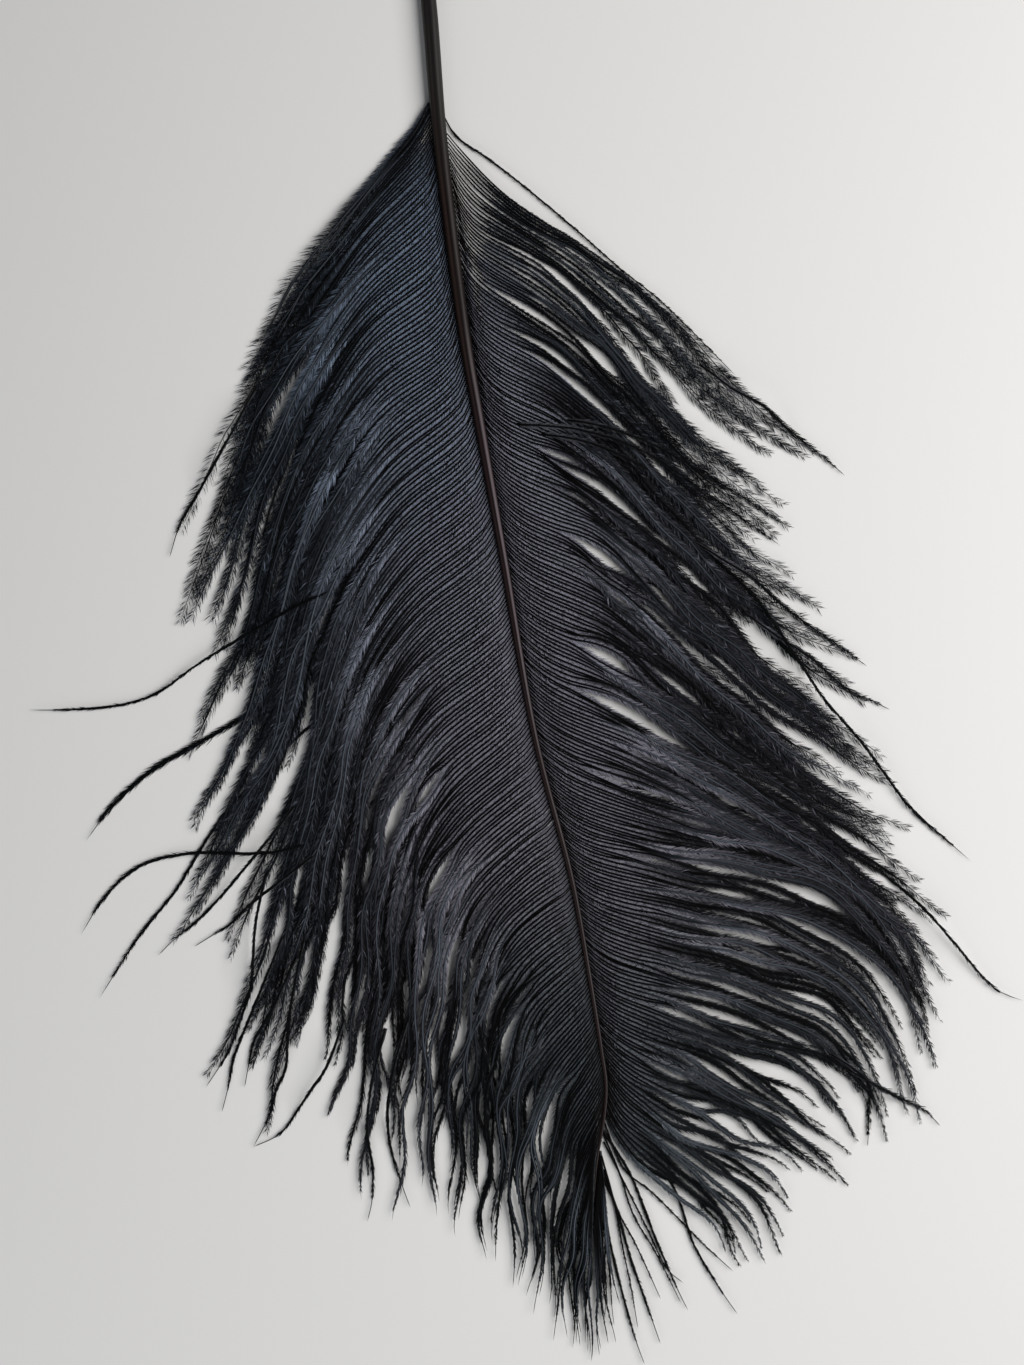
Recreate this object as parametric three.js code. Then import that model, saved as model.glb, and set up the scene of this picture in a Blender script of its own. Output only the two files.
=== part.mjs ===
// An ostrich wing plume that lies flat on a surface: one curved shaft, the two vanes that grow from
// its sides, and the single barbs that lie clear of the vanes. Millimetres, +Z up, quill towards +Y.
import * as THREE from "three";

// Driving dimensions
const quillRadius = 1.72; // half the thickness of the shaft where it is stoutest
const vaneThickness = 3; // how deep the soft barbs lie on each other
const looseBarbRadius = 0.55; // a single barb with its down pressed round it
const fitGap = 0.3; // clearance between pieces that grow from each other
const leftVaneStart = 0.162; // share of the shaft's length at which the left barbs begin
const rightVaneStart = 0.18; // and the right ones
const edgeSteps = 26; // stations along the shaft where a vane's inner edge is worked out
const shaftSides = 12;
const shaftRings = 90;
const looseBarbSides = 8;
const millimetresPerStep = 2.5; // spacing of the rings along a loose barb

// Middle of the shaft, seen from above, from the end of the quill to the tip
const shaftRoute = [
  [-24.5, 164],
  [-21.5, 136],
  [-19, 105.5],
  [-13.5, 61.5],
  [-10.5, 44],
  [-5, 13],
  [2, -26.5],
  [10, -57.5],
  [14, -79.5],
  [16.5, -95],
  [17.5, -102.5],
  [17, -110],
  [15.5, -119],
  [14.5, -131],
];

// Thickness of the shaft at shares of its length, as shares of the quill's radius
const shaftTaper = [
  [0, 0],
  [0.003, 0.26],
  [0.012, 0.46],
  [0.035, 0.7],
  [0.08, 0.96],
  [0.11, 1],
  [0.2, 0.93],
  [0.35, 0.77],
  [0.5, 0.56],
  [0.65, 0.4],
  [0.8, 0.31],
  [0.92, 0.22],
  [0.985, 0.13],
  [1, 0],
];

// Beyond the shaft's tip the barbs of both sides run on together as a tuft
const tuftEnd = [14, -162.5];

// Outer edge of each vane from the quill down to the tuft: the tips of the locks of barbs and the
// notches between them
const leftEdge = [
  [-28.5, 107],
  [-36, 96.5],
  [-43, 86.5],
  [-50.5, 77],
  [-56, 67],
  [-60, 56],
  [-65.5, 42.5],
  [-69, 31.5],
  [-75, 22],
  [-78.5, 13.5],
  [-75.5, 8.5],
  [-71.5, 9],
  [-72.5, 1],
  [-76, -4],
  [-78, -14],
  [-70.5, -9],
  [-63.5, -7],
  [-64.5, -15.5],
  [-70.5, -27],
  [-76, -33],
  [-66, -29.5],
  [-74.5, -44],
  [-65.5, -38.5],
  [-73.5, -48],
  [-63, -47.5],
  [-76.5, -65.5],
  [-67, -60],
  [-81.5, -74],
  [-65, -65],
  [-73, -72],
  [-62.5, -66],
  [-66.5, -77.5],
  [-60.5, -76],
  [-70.5, -103],
  [-67, -108.5],
  [-62.5, -103.5],
  [-60.5, -116],
  [-46, -99],
  [-45.5, -112.5],
  [-41.5, -112],
  [-38.5, -121.5],
  [-35, -132.5],
  [-28, -132.5],
  [-22, -135],
  [-16.5, -135],
  [-10, -142.5],
  [-6, -141.5],
  [-4, -148.5],
  [2, -153],
  [6.5, -160],
];

const rightEdge = [
  [-8, 100],
  [7.5, 90],
  [20.5, 78.5],
  [34, 68.5],
  [43, 60.5],
  [52, 49.5],
  [61, 40],
  [70.5, 31.5],
  [60, 31],
  [46, 38.5],
  [56.5, 25.5],
  [59.5, 15.5],
  [69, 4],
  [68.5, -4],
  [75.5, -11],
  [80, -20],
  [71.5, -22],
  [80.5, -33],
  [86.5, -40],
  [80.5, -42.5],
  [87.5, -47],
  [93, -58.5],
  [96.5, -66],
  [101, -76],
  [96, -91.5],
  [91, -97.5],
  [88.5, -101.5],
  [91, -105.5],
  [87, -112],
  [81.5, -119],
  [75, -117.5],
  [77.5, -125.5],
  [65, -129],
  [60, -138.5],
  [57, -140.5],
  [49.5, -143],
  [39.5, -132.5],
  [35, -125.5],
  [25, -117],
  [18.2, -113],
  [18, -137],
  [19.3, -150],
  [17.5, -162],
];

// Barbs that lie by themselves, each from where it leaves the vane to its tip
const looseBarbs = {
  loose_barb_left_1: [[-79.2, -15.4], [-84.5, -17.7], [-92, -19.4], [-102, -20], [-109.5, -20]],
  loose_barb_left_2: [[-72, -26.8], [-82, -33], [-87, -36.5], [-91, -41], [-94, -45.5], [-97, -49]],
  loose_barb_left_3: [[-66.7, -50.4], [-74, -51.5], [-80.5, -52], [-85.5, -54.5], [-91, -58], [-98, -69.5]],
  loose_barb_left_4: [[-69.7, -54.6], [-73, -55.5], [-77.5, -59.5], [-85, -69.5], [-89, -75], [-94, -83.5]],
  loose_barb_right_1: [[83, -42.6], [86.5, -43.6], [90.5, -47], [98, -53.5]],
  loose_barb_right_2: [[101.3, -79.5], [104, -82], [109.3, -84]],
  loose_barb_tip_1: [[19.4, -138.5], [20.7, -146], [22.5, -153.5], [24, -158.5], [26, -163.8]],
  loose_barb_tip_2: [[18.9, -126], [20.5, -131], [23, -141], [26, -149.5], [29.5, -159.5]],
  loose_barb_tip_3: [[19.4, -116.6], [22.5, -121.5], [25, -129], [28.5, -136.5], [35.5, -152]],
  loose_barb_tip_4: [[38.6, -134], [39.5, -143], [43, -148], [46.5, -153]],
};

const shaftFinish = { color: 0x2e2724, roughness: 0.42, metalness: 0 };
const vaneFinish = { color: 0x1b2026, roughness: 0.85, metalness: 0 };
const looseFinish = { color: 0x14181b, roughness: 0.8, metalness: 0 };

const routeOf = (points) =>
  new THREE.CatmullRomCurve3(points.map(([x, y]) => new THREE.Vector3(x, y, 0)), false, "centripetal");

const shaftCurve = routeOf(shaftRoute);

// Radius of the shaft at a share of its length: straight lines between the stations of the taper
function shaftRadius(share) {
  const next = shaftTaper.findIndex(([station]) => station >= share);
  if (next <= 0) return shaftTaper[0][1] * quillRadius;
  const [fromShare, fromSize] = shaftTaper[next - 1];
  const [toShare, toSize] = shaftTaper[next];
  const step = (share - fromShare) / (toShare - fromShare);
  return quillRadius * THREE.MathUtils.lerp(fromSize, toSize, step);
}

// Level direction at right angles to the shaft, towards +X
function sideways(share) {
  const along = shaftCurve.getTangentAt(share);
  return new THREE.Vector3(-along.y, along.x, 0);
}

function named(name, geometry, finish) {
  const mesh = new THREE.Mesh(geometry, new THREE.MeshStandardMaterial(finish));
  mesh.name = name;
  return mesh;
}

// The shaft is a turned profile whose axis is then bent along the route, so that its underside
// touches the ground all the way
function makeShaft() {
  const shares = [];
  for (let ring = 0; ring <= shaftRings; ring += 1) shares.push(ring / shaftRings);
  for (const [station] of shaftTaper) shares.push(station);
  // from the tip to the quill, because the bend below mirrors the turned shape
  const rings = [...new Set(shares)].sort((a, b) => b - a);
  const profile = rings.map((share) => new THREE.Vector2(shaftRadius(share), share));
  const geometry = new THREE.LatheGeometry(profile, shaftSides);
  const spots = geometry.getAttribute("position");
  for (let i = 0; i < spots.count; i += 1) {
    const share = THREE.MathUtils.clamp(spots.getY(i), 0, 1);
    const middle = shaftCurve.getPointAt(share);
    const side = sideways(share).multiplyScalar(spots.getX(i));
    spots.setXYZ(i, middle.x + side.x, middle.y + side.y, shaftRadius(share) + spots.getZ(i));
  }
  return named("shaft", geometry, shaftFinish);
}

// A vane is a slab between the shaft and the tips of its barbs. side is -1 on the left, 1 on the right
function makeVane(name, side, start, outerEdge) {
  const outline = [];
  for (let step = 0; step <= edgeSteps; step += 1) {
    const share = THREE.MathUtils.lerp(start, 1, step / edgeSteps);
    const reach = side * (shaftRadius(share) + fitGap);
    const spot = shaftCurve.getPointAt(share).addScaledVector(sideways(share), reach);
    outline.push(new THREE.Vector2(spot.x, spot.y));
  }
  outline.push(new THREE.Vector2(tuftEnd[0] + side * fitGap, tuftEnd[1]));
  for (const [x, y] of [...outerEdge].reverse()) outline.push(new THREE.Vector2(x, y));
  const geometry = new THREE.ExtrudeGeometry(new THREE.Shape(outline), {
    depth: vaneThickness,
    bevelEnabled: false,
  });
  return named(name, geometry, vaneFinish);
}

// A loose barb is a round tube that lies on the ground along its route
function makeLooseBarb(name, points) {
  const section = new THREE.Shape();
  for (let corner = 0; corner < looseBarbSides; corner += 1) {
    const turn = (2 * Math.PI * corner) / looseBarbSides;
    const [x, y] = [looseBarbRadius * Math.cos(turn), looseBarbRadius * Math.sin(turn)];
    if (corner === 0) section.moveTo(x, y);
    else section.lineTo(x, y);
  }
  const route = routeOf(points);
  const geometry = new THREE.ExtrudeGeometry(section, {
    extrudePath: route,
    steps: Math.ceil(route.getLength() / millimetresPerStep),
    bevelEnabled: false,
  });
  geometry.computeBoundingBox();
  geometry.translate(0, 0, -geometry.boundingBox.min.z);
  return named(name, geometry, looseFinish);
}

const feather = new THREE.Group();
feather.name = "ostrich_feather";
feather.add(makeShaft());
feather.add(makeVane("left_vane", -1, leftVaneStart, leftEdge));
feather.add(makeVane("right_vane", 1, rightVaneStart, rightEdge));
for (const [name, points] of Object.entries(looseBarbs)) feather.add(makeLooseBarb(name, points));

export default feather;
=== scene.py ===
import bpy
import numpy as np
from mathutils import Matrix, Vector


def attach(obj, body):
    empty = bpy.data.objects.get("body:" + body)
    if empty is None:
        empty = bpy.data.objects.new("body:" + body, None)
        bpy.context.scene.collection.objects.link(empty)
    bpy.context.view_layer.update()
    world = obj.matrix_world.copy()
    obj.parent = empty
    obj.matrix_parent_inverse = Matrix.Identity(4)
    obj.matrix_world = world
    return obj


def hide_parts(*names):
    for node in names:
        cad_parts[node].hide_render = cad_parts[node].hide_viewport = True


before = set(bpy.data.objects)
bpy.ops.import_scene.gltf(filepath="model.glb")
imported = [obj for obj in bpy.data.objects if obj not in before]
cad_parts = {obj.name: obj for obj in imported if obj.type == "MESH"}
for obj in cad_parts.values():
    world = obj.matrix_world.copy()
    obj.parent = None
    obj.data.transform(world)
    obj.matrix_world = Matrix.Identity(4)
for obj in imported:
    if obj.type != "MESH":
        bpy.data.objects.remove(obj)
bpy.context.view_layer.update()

# A black ostrich plume that lies flat: the shaft, the barbs of both sides with their barbules, and
# the single barbs that lie clear. Lengths are in millimetres, and makeMesh turns them into metres;
# only those of the studio and the horn's bump are in metres from the start.

mm = 0.001
draw = np.random.default_rng(2741)


def smooth(low, high, x):
    # 0 below low, 1 above high, and 3 t squared minus 2 t cubed between them
    t = np.clip((x - low) / (high - low), 0, 1)
    return t * t * (3 - 2 * t)


def unit(v):
    # A vector over its own length
    return v / np.maximum(np.linalg.norm(v, axis=-1, keepdims=True), 1e-9)


def turned(v):
    # A flat vector turned a quarter to the left
    return np.stack([-v[..., 1], v[..., 0]], -1)


def curveThrough(points, count):
    # Catmull-Rom curve through the points, whose knots lie apart by the root of each gap, then
    # count points at equal steps of its length
    perStretch = 40  # points from one given point to the next
    p = np.asarray(points, float)
    p = np.vstack([2 * p[0] - p[1], p, 2 * p[-1] - p[-2]])
    knots = np.concatenate([[0], np.cumsum(np.sqrt(np.linalg.norm(np.diff(p, axis=0), axis=1)))])
    pieces = []
    for i in range(1, len(p) - 2):
        t = np.linspace(knots[i], knots[i + 1], perStretch, endpoint=False)[:, None]
        k = knots[i - 1:i + 3]
        a = [p[i - 1 + j] + (p[i + j] - p[i - 1 + j]) * (t - k[j]) / (k[j + 1] - k[j]) for j in range(3)]
        b = [a[j] + (a[j + 1] - a[j]) * (t - k[j]) / (k[j + 2] - k[j]) for j in range(2)]
        pieces.append(b[0] + (b[1] - b[0]) * (t - k[1]) / (k[2] - k[1]))
    line = np.vstack(pieces + [p[-2:-1]])
    along = np.concatenate([[0], np.cumsum(np.linalg.norm(np.diff(line, axis=0), axis=1))])
    want = np.linspace(0, along[-1], count)
    return np.stack([np.interp(want, along, line[:, c]) for c in range(line.shape[1])], -1)


def lengthsAlong(paths):
    # Length from the root to each point of every path
    steps = np.linalg.norm(np.diff(paths, axis=-2), axis=-1)
    return np.concatenate([np.zeros(steps.shape[:-1] + (1,)), np.cumsum(steps, axis=-1)], -1)


def makeMesh(name, spots, faces, tone, materials, kind):
    # A mesh from points, triangles, one place on the tone map for each point, and the number of
    # each triangle's material. OFBake is the same map, for a baked copy of the finish
    mesh = bpy.data.meshes.new(name)
    mesh.vertices.add(len(spots))
    mesh.vertices.foreach_set("co", (spots * mm).astype(np.float32).ravel())
    mesh.loops.add(faces.size)
    mesh.loops.foreach_set("vertex_index", faces.astype(np.int32).ravel())
    mesh.polygons.add(len(faces))
    mesh.polygons.foreach_set("loop_start", np.arange(0, faces.size, 3, dtype=np.int32))
    for material in materials:
        mesh.materials.append(material)
    mesh.polygons.foreach_set("material_index", kind.astype(np.int32))
    mesh.update(calc_edges=True)
    mesh.polygons.foreach_set("use_smooth", np.ones(len(faces), bool))
    for mapName in ("toneMap", "OFBake"):
        layer = mesh.uv_layers.new(name=mapName)
        layer.uv.foreach_set("vector", tone[faces].astype(np.float32).ravel())
    piece = bpy.data.objects.new(name, mesh)
    bpy.context.scene.collection.objects.link(piece)
    return piece


shaft = {
    "radius": 1.72,  # of the quill at its stoutest
    "route": [  # its middle from above, from the end of the quill to the tip
        (-24.5, 164), (-21.5, 136), (-19, 105.5), (-13.5, 61.5), (-10.5, 44), (-5, 13), (2, -26.5),
        (10, -57.5), (14, -79.5), (16.5, -95), (17.5, -102.5), (17, -110), (15.5, -119), (14.5, -131)],
    "taper": [  # (share of the length, thickness as a share of the quill's)
        (0, 0), (0.003, 0.26), (0.012, 0.46), (0.035, 0.7), (0.08, 0.96), (0.11, 1), (0.2, 0.93),
        (0.35, 0.77), (0.5, 0.56), (0.65, 0.4), (0.8, 0.31), (0.92, 0.22), (0.985, 0.13), (1, 0.03)],
    "ridgeTurn": 62,  # where the pale ridge stands, in degrees from level on the right
    "ridgeHeight": 0.09,  # share of the radius
    "ridgeWidth": 26,
    "grooveTurn": 104,
    "grooveDepth": 0.12,
    "grooveWidth": 17,
    "formed": (0.03, 0.13),  # shares of the length over which ridge and groove begin
    "uneven": (0.012, 9, 55),  # share of the radius, and waves round and along the shaft
    "endShare": 0.03,  # the quill's rounded end, which has rings of its own
    "endRings": 26,
    "rings": 320,
    "sides": 40,
    "stations": 900,  # places along the middle line that everything else looks up
}
shaftLine = curveThrough(shaft["route"], shaft["stations"])
shaftShares = np.linspace(0, 1, shaft["stations"])
shaftAlong = unit(np.gradient(shaftLine, axis=0))
shaftLength = lengthsAlong(shaftLine)[-1]
taper = np.array(shaft["taper"])


def onShaft(share):
    # Middle of the shaft, its direction towards the tip, level direction to the right, and radius
    middle = np.stack([np.interp(share, shaftShares, shaftLine[:, c]) for c in (0, 1)], -1)
    along = unit(np.stack([np.interp(share, shaftShares, shaftAlong[:, c]) for c in (0, 1)], -1))
    return middle, along, turned(along), shaft["radius"] * np.interp(share, taper[:, 0], taper[:, 1])


def shareAt(y):
    # Share of the shaft's length at which it passes y
    return np.interp(-np.asarray(y, float), -shaftLine[:, 1], shaftShares)


def yAt(share):
    # And y at a share of the length
    return np.interp(share, shaftShares, shaftLine[:, 1])


def makeShaft(materials):
    # Rings across the line: the radius grows by a round bump at the ridge and shrinks at the groove
    quillEnd = np.linspace(0, shaft["endShare"], shaft["endRings"])[:-1]
    share = np.concatenate([quillEnd, np.linspace(shaft["endShare"], 1, shaft["rings"])])
    middle, _, right, radius = onShaft(share)
    turn = np.linspace(0, 2 * np.pi, shaft["sides"], endpoint=False)
    degrees = np.degrees(turn)

    def bump(centre, width):
        return np.exp(-((degrees - centre) / width) ** 2)

    form = smooth(*shaft["formed"], share)[:, None]
    swell = 1 + form * (shaft["ridgeHeight"] * bump(shaft["ridgeTurn"], shaft["ridgeWidth"])
                        - shaft["grooveDepth"] * bump(shaft["grooveTurn"], shaft["grooveWidth"]))
    size, wavesRound, wavesAlong = shaft["uneven"]
    swell = swell * (1 + size * np.sin(turn * wavesRound + 1) * np.sin(share * wavesAlong)[:, None])
    reach = radius[:, None] * swell
    level = reach * np.cos(turn)
    high = np.maximum(radius[:, None] + reach * np.sin(turn), 0.01)
    ring = middle[:, None] + right[:, None] * level[..., None]
    spots = np.concatenate([ring, high[..., None]], -1).reshape(-1, 3)
    count, sides = reach.shape
    first = np.arange(count - 1)[:, None] * sides
    here = first + np.arange(sides)
    beside = first + (np.arange(sides) + 1) % sides
    quads = np.stack([here, here + sides, beside + sides, beside], -1).reshape(-1, 4)
    faces = np.concatenate([quads[:, :3], quads[:, [0, 2, 3]]])
    ends = []
    for base, order in ((0, 1), ((count - 1) * sides, -1)):
        corner = base + np.arange(1, sides - 1)
        fan = np.stack([np.full(sides - 2, base), corner, corner + 1], -1)
        ends.append(fan[:, ::order])
    faces = np.concatenate([faces] + ends)
    tone = np.stack([np.repeat(share, sides), np.tile(turn / (2 * np.pi), count)], -1)
    tone = np.clip(tone, 0.002, 0.998)  # kept off the map's edges
    return makeMesh("shaft_with_ridge", spots, faces, tone, materials, np.zeros(len(faces)))


# Each vane has
# - the y where its first and last barbs leave the shaft, and the steps between barbs there
# - the ranks of the barbs where its middle and its lower piece begin
# - guide barbs: y of the root, then points out to the tip
# - the tips of its locks: y of the root, then the tip
# - the gaps between locks: from x y, to x y, half width
# - a profile of its style: y of the root and what holds there
leftVane = {
    "side": -1, "first": 113.4, "last": -130.8, "spacing": (1.06, 0.86), "cuts": (68, 132),
    "guides": [
        (113.5, (-24.5, 107.5), (-31.3, 99.3), (-39.3, 88.3), (-51, 71), (-58.5, 57)),
        (101, (-25.5, 95.5), (-34.5, 86.5), (-43, 74.5), (-55, 53.5), (-59.5, 38.5), (-71, 4)),
        (83.5, (-22.5, 78.5), (-35.5, 67.5), (-46.5, 49.5), (-51.5, 35), (-58, 8.5), (-66.5, -15.5)),
        (68, (-20, 62.5), (-33.5, 52.5), (-44, 35), (-49, 19.5), (-54.5, -7), (-66.5, -32)),
        (52.5, (-18, 47.5), (-31, 37), (-42, 20), (-46.5, 5.5), (-52.5, -21), (-66, -48.5)),
        (37, (-15.5, 32), (-28.5, 21.5), (-39.5, 5), (-44, -9.5), (-49, -35.5), (-66.5, -68.5)),
        (22, (-13.5, 16.5), (-26, 6.5), (-36.5, -9.5), (-45, -40), (-51.5, -67.5), (-63, -102.5)),
        (6.5, (-11.5, 1), (-24, -9), (-34, -24.5), (-40, -46.5), (-44, -71.5), (-52, -99)),
        (-9, (-8.5, -14.5), (-21, -24.5), (-30.5, -40.5), (-35.5, -62), (-39.5, -88), (-45, -112.5)),
        (-22, (-6, -27.5), (-18, -38), (-26.5, -53.5), (-30.5, -75), (-33, -101.5), (-35, -128)),
        (-35.5, (-3, -40.5), (-14.5, -51), (-22, -67.5), (-24, -81.5), (-26, -108), (-28, -132)),
        (-48.5, (0, -53.5), (-10.5, -64), (-15, -74.5), (-18.5, -95), (-19.5, -110), (-21.5, -135)),
        (-62, (3.5, -66.5), (-3, -72.5), (-10, -86.5), (-12, -99), (-14, -121), (-13, -137.5)),
        (-75, (7, -79.5), (1, -85.5), (-3.5, -94), (-7, -111.5), (-8, -125.5), (-10, -142)),
        (-86, (10, -91), (5, -97), (1, -105.5), (-1.5, -116.5), (-3, -129), (-4, -147.5)),
        (-95, (12.5, -100), (8, -106.5), (4.5, -115), (2.5, -126), (1, -139), (-1, -150)),
        (-103.5, (14, -109), (10, -116), (7.5, -125), (4.5, -142), (3, -154)),
        (-112.5, (14.5, -118), (12, -125.5), (9.5, -135), (8, -146), (7.5, -158.5)),
        (-121, (14, -128.5), (12.5, -137.5), (11.5, -148.5), (11, -161)),
        (-129, (14, -139), (13.5, -152), (13, -163))],
    "tips": [
        (113.5, -59, 58.5), (111, -63, 49.5), (108, -65.5, 41.5), (105.5, -69, 31.5), (103, -78.5, 13.5),
        (101.5, -75.5, 8), (99.5, -72, 4), (94.5, -76, -4), (89, -78, -14), (78.5, -70.5, -27),
        (72.5, -75.5, -33), (64.5, -74.5, -44), (60.5, -73.5, -48), (54.5, -72, -55), (48.5, -76.5, -65.5),
        (42.5, -81.5, -74), (39.5, -73, -72), (36, -66, -77), (28.5, -70.5, -103), (24.5, -67, -108.5),
        (20, -62.5, -103.5), (15, -60.5, -116), (7, -52.5, -99), (-4.5, -45.5, -112.5), (-11, -41.5, -112),
        (-16, -38.5, -121.5), (-20.5, -35, -128), (-24, -34.5, -132.5), (-28.5, -31, -113),
        (-34.5, -28, -132.5), (-39.5, -26, -134), (-45.5, -22, -135), (-49.5, -21, -129.5),
        (-55, -16.5, -135), (-60.5, -12.5, -138.5), (-68, -10, -142.5), (-75, -6, -141.5),
        (-82.5, -4, -148.5), (-89.5, -1, -150.5), (-93.5, 1, -149), (-98.5, 2, -153),
        (-103.5, 4.5, -156.5), (-108.5, 6.5, -160), (-112.5, 8.5, -157.5), (-116, 10, -160.5),
        (-119.5, 11.5, -161), (-124.5, 13, -162.5), (-130, 14, -163.5)],
    "gaps": [
        (-49.5, 75.5, -54, 66, 0.5), (-65, 42, -68, 33, 0.4),
        (-29.5, -8.5, -35, -19.5, 0.7), (-21.5, -15.5, -28.5, -25, 0.55),
        (-56.5, -25.5, -59.5, -33, 0.4), (-41, -31.5, -44.5, -41, 0.65), (-26.5, -35.5, -31.5, -48.5, 0.95),
        (-19, -33, -25, -42.5, 0.85), (-38.5, -49.5, -41, -63, 0.8), (-33, -48, -36.5, -60, 0.7),
        (-24, -55.5, -28.5, -68.5, 0.85), (-16.5, -51, -22.5, -63, 0.85), (-12.5, -55, -19, -67.5, 0.8),
        (-18.5, -68.5, -25, -84, 0.9), (-24.5, -74, -28.5, -90.5, 0.85), (-29, -81.5, -32, -99, 0.9),
        (-38.5, -75, -40, -86, 0.65), (-19, -80.5, -21.5, -97, 0.7), (-14, -69.5, -19, -80.5, 0.7),
        (-6, -76, -12.5, -86, 0.65), (-10, -88, -13.5, -106, 0.75), (-6, -90.5, -9, -100.5, 0.61),
        (-1, -92.5, -5, -105.5, 0.61), (1, -80.5, -6, -87, 0.54), (8, -106, 1, -119, 0.75),
        (4, -100.5, -1.5, -110, 0.65), (12, -100.5, 5.5, -108, 0.41), (10, -117, 7, -128, 0.6),
        (-19, -102.5, -20.5, -108, 0.48), (-9.5, -102.5, -10, -112.5, 0.61), (-25.5, -97, -28, -106, 0.61),
        (-34, -97, -36, -108, 0.48), (-39, -91.5, -42, -102.5, 0.61), (-66.5, -27.5, -70.5, -37.5, 0.9),
        (-61, -53, -65, -57.5, 0.75), (-68.5, -53, -72, -58.5, 0.75), (-47, -69, -49.5, -86, 0.7),
        (-42.5, -66, -45, -79, 0.55), (-53, -61, -55.5, -74, 0.7), (-45, -91, -47.5, -106, 0.6),
        (-49, -52, -52, -64, 0.5)],
    "profile": {
        "y": (114, 108, 98, 85, 37, 0, -33, -62, -95, -130),  # of the root
        "angle": (50, 46, 38, 32, 28, 21, 15, 13, 12, 11),  # of the barbules far out, degrees
        "innerAngle": (42, 40, 36, 31, 29, 28, 28, 27, 26, 22),  # and near the shaft
        "length": (3.3, 3.2, 2.9, 2.7, 2.5, 2.3, 2.0, 1.7, 1.4, 0.9),  # of the barbules
        "inner": (0.8, 0.9, 1, 1, 1, 1.05, 1.15, 1.25, 1.3, 1.2),  # near the root, as a share of it
        "outer": (0.8, 0.8, 0.7, 0.7, 0.6, 0.5, 0.3, 0.2, 0.15, 0.15),  # and at the tip
        "thin": (0.4, 0.6, 0.5, 0.4, 0.35, 0.3, 0.2, 0.1, 0.1, 0.1),  # share of them missing far out
        "thinFrom": (0.3, 0.05, 0.4, 0.55, 0.6, 0.6, 0.6, 0.6, 0.6, 0.6),  # and where that begins
        "bareRoot": (0.3, 3, 1.5, 0.5, 0.2, 0.2, 0.2, 0.2, 0.2, 0.2),  # length without barbules at the root
        "stem": (0.9, 0.8, 0.85, 0.95, 1, 1, 1, 1, 0.92, 0.7),  # thickness of the stems
        "mat": (0.9, 0.15, 0.7, 1, 1, 1, 1, 1, 0.9, 0.5),  # how much of the pressed down is there
        "rise": (1, 1.2, 1.6, 1.75, 1.75, 1.75, 1.75, 1.75, 1.6, 1.2),  # height beside the shaft
        "departure": (1.5, 2.2, 2.5, 2.3, 1.5, 1.0, 0.8, 0.7, 0.7, 0.6),  # how far up the shaft they grow
        "bareTip": (0, 0, 0, 0, 0, 1, 3, 4, 5, 3),  # length without barbules at the tip
        "gather": (0.4, 0.4, 0.4, 0.4, 0.4, 0.36, 0.28, 0.24, 0.26, 0.3),  # where the locks gather
        "tight": (0.4, 0.4, 0.42, 0.45, 0.55, 0.7, 0.84, 0.89, 0.91, 0.86),  # how tightly
        "fray": (0.2, 0.2, 0.3, 0.3, 0.35, 0.28, 0.2, 0.16, 0.1, 0.08),  # how far they part again
        "between": (1, 1, 1, 1, 1, 0.95, 0.95, 0.95, 1, 1),  # chance of a lock between two tips
        "sway": (0.6, 0.8, 1.4, 2.0, 2.4, 2.9, 3.4, 3.6, 3.0, 1.6),  # how far locks stray
        "curl": (0.1, 0.1, 0.2, 0.3, 0.4, 0.5, 0.7, 0.8, 0.8, 0.4),  # how far they wave from side to side
        "wander": (1.6, 1.9, 2.6, 3.3, 3.6, 2.8, 1.4, 1.1, 0.9, 0.6),  # how far single barbs stray
        "ragged": (0.25, 0.25, 0.25, 0.28, 0.28, 0.28, 0.3, 0.28, 0.24, 0.15),  # how much shorter some are
        "light": (0.35, 0.55, 0.9, 1.18, 1.44, 1.36, 1.16, 0.82, 0.42, 0.28),  # of the down inside the vane, partly painted sheen
        "shade": (0.74, 0.76, 0.86, 0.91, 0.92, 0.91, 0.9, 0.9, 0.88, 0.8),  # darker by this far out, partly the down's own tone and partly painted shade among the overlapping barbs
        "shadeFrom": (0.26, 0.3, 0.3, 0.26, 0.21, 0.22, 0.25, 0.26, 0.26, 0.26),  # where that begins
        "crown": (1.8, 1.8, 1.7, 1.7, 1.9, 2.2, 2.2, 1.9, 1.7, 1.7),  # painted light: how much lighter the barbs on top are
        "hue": (0.1, 0.02, 0, 0, 0.2, 0.42, 0.55, 0.8, 1, 1),  # 0 is blue, 0.6 mauve, 1 green-black; the blue and mauve are partly painted sheen
    },
}
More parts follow.
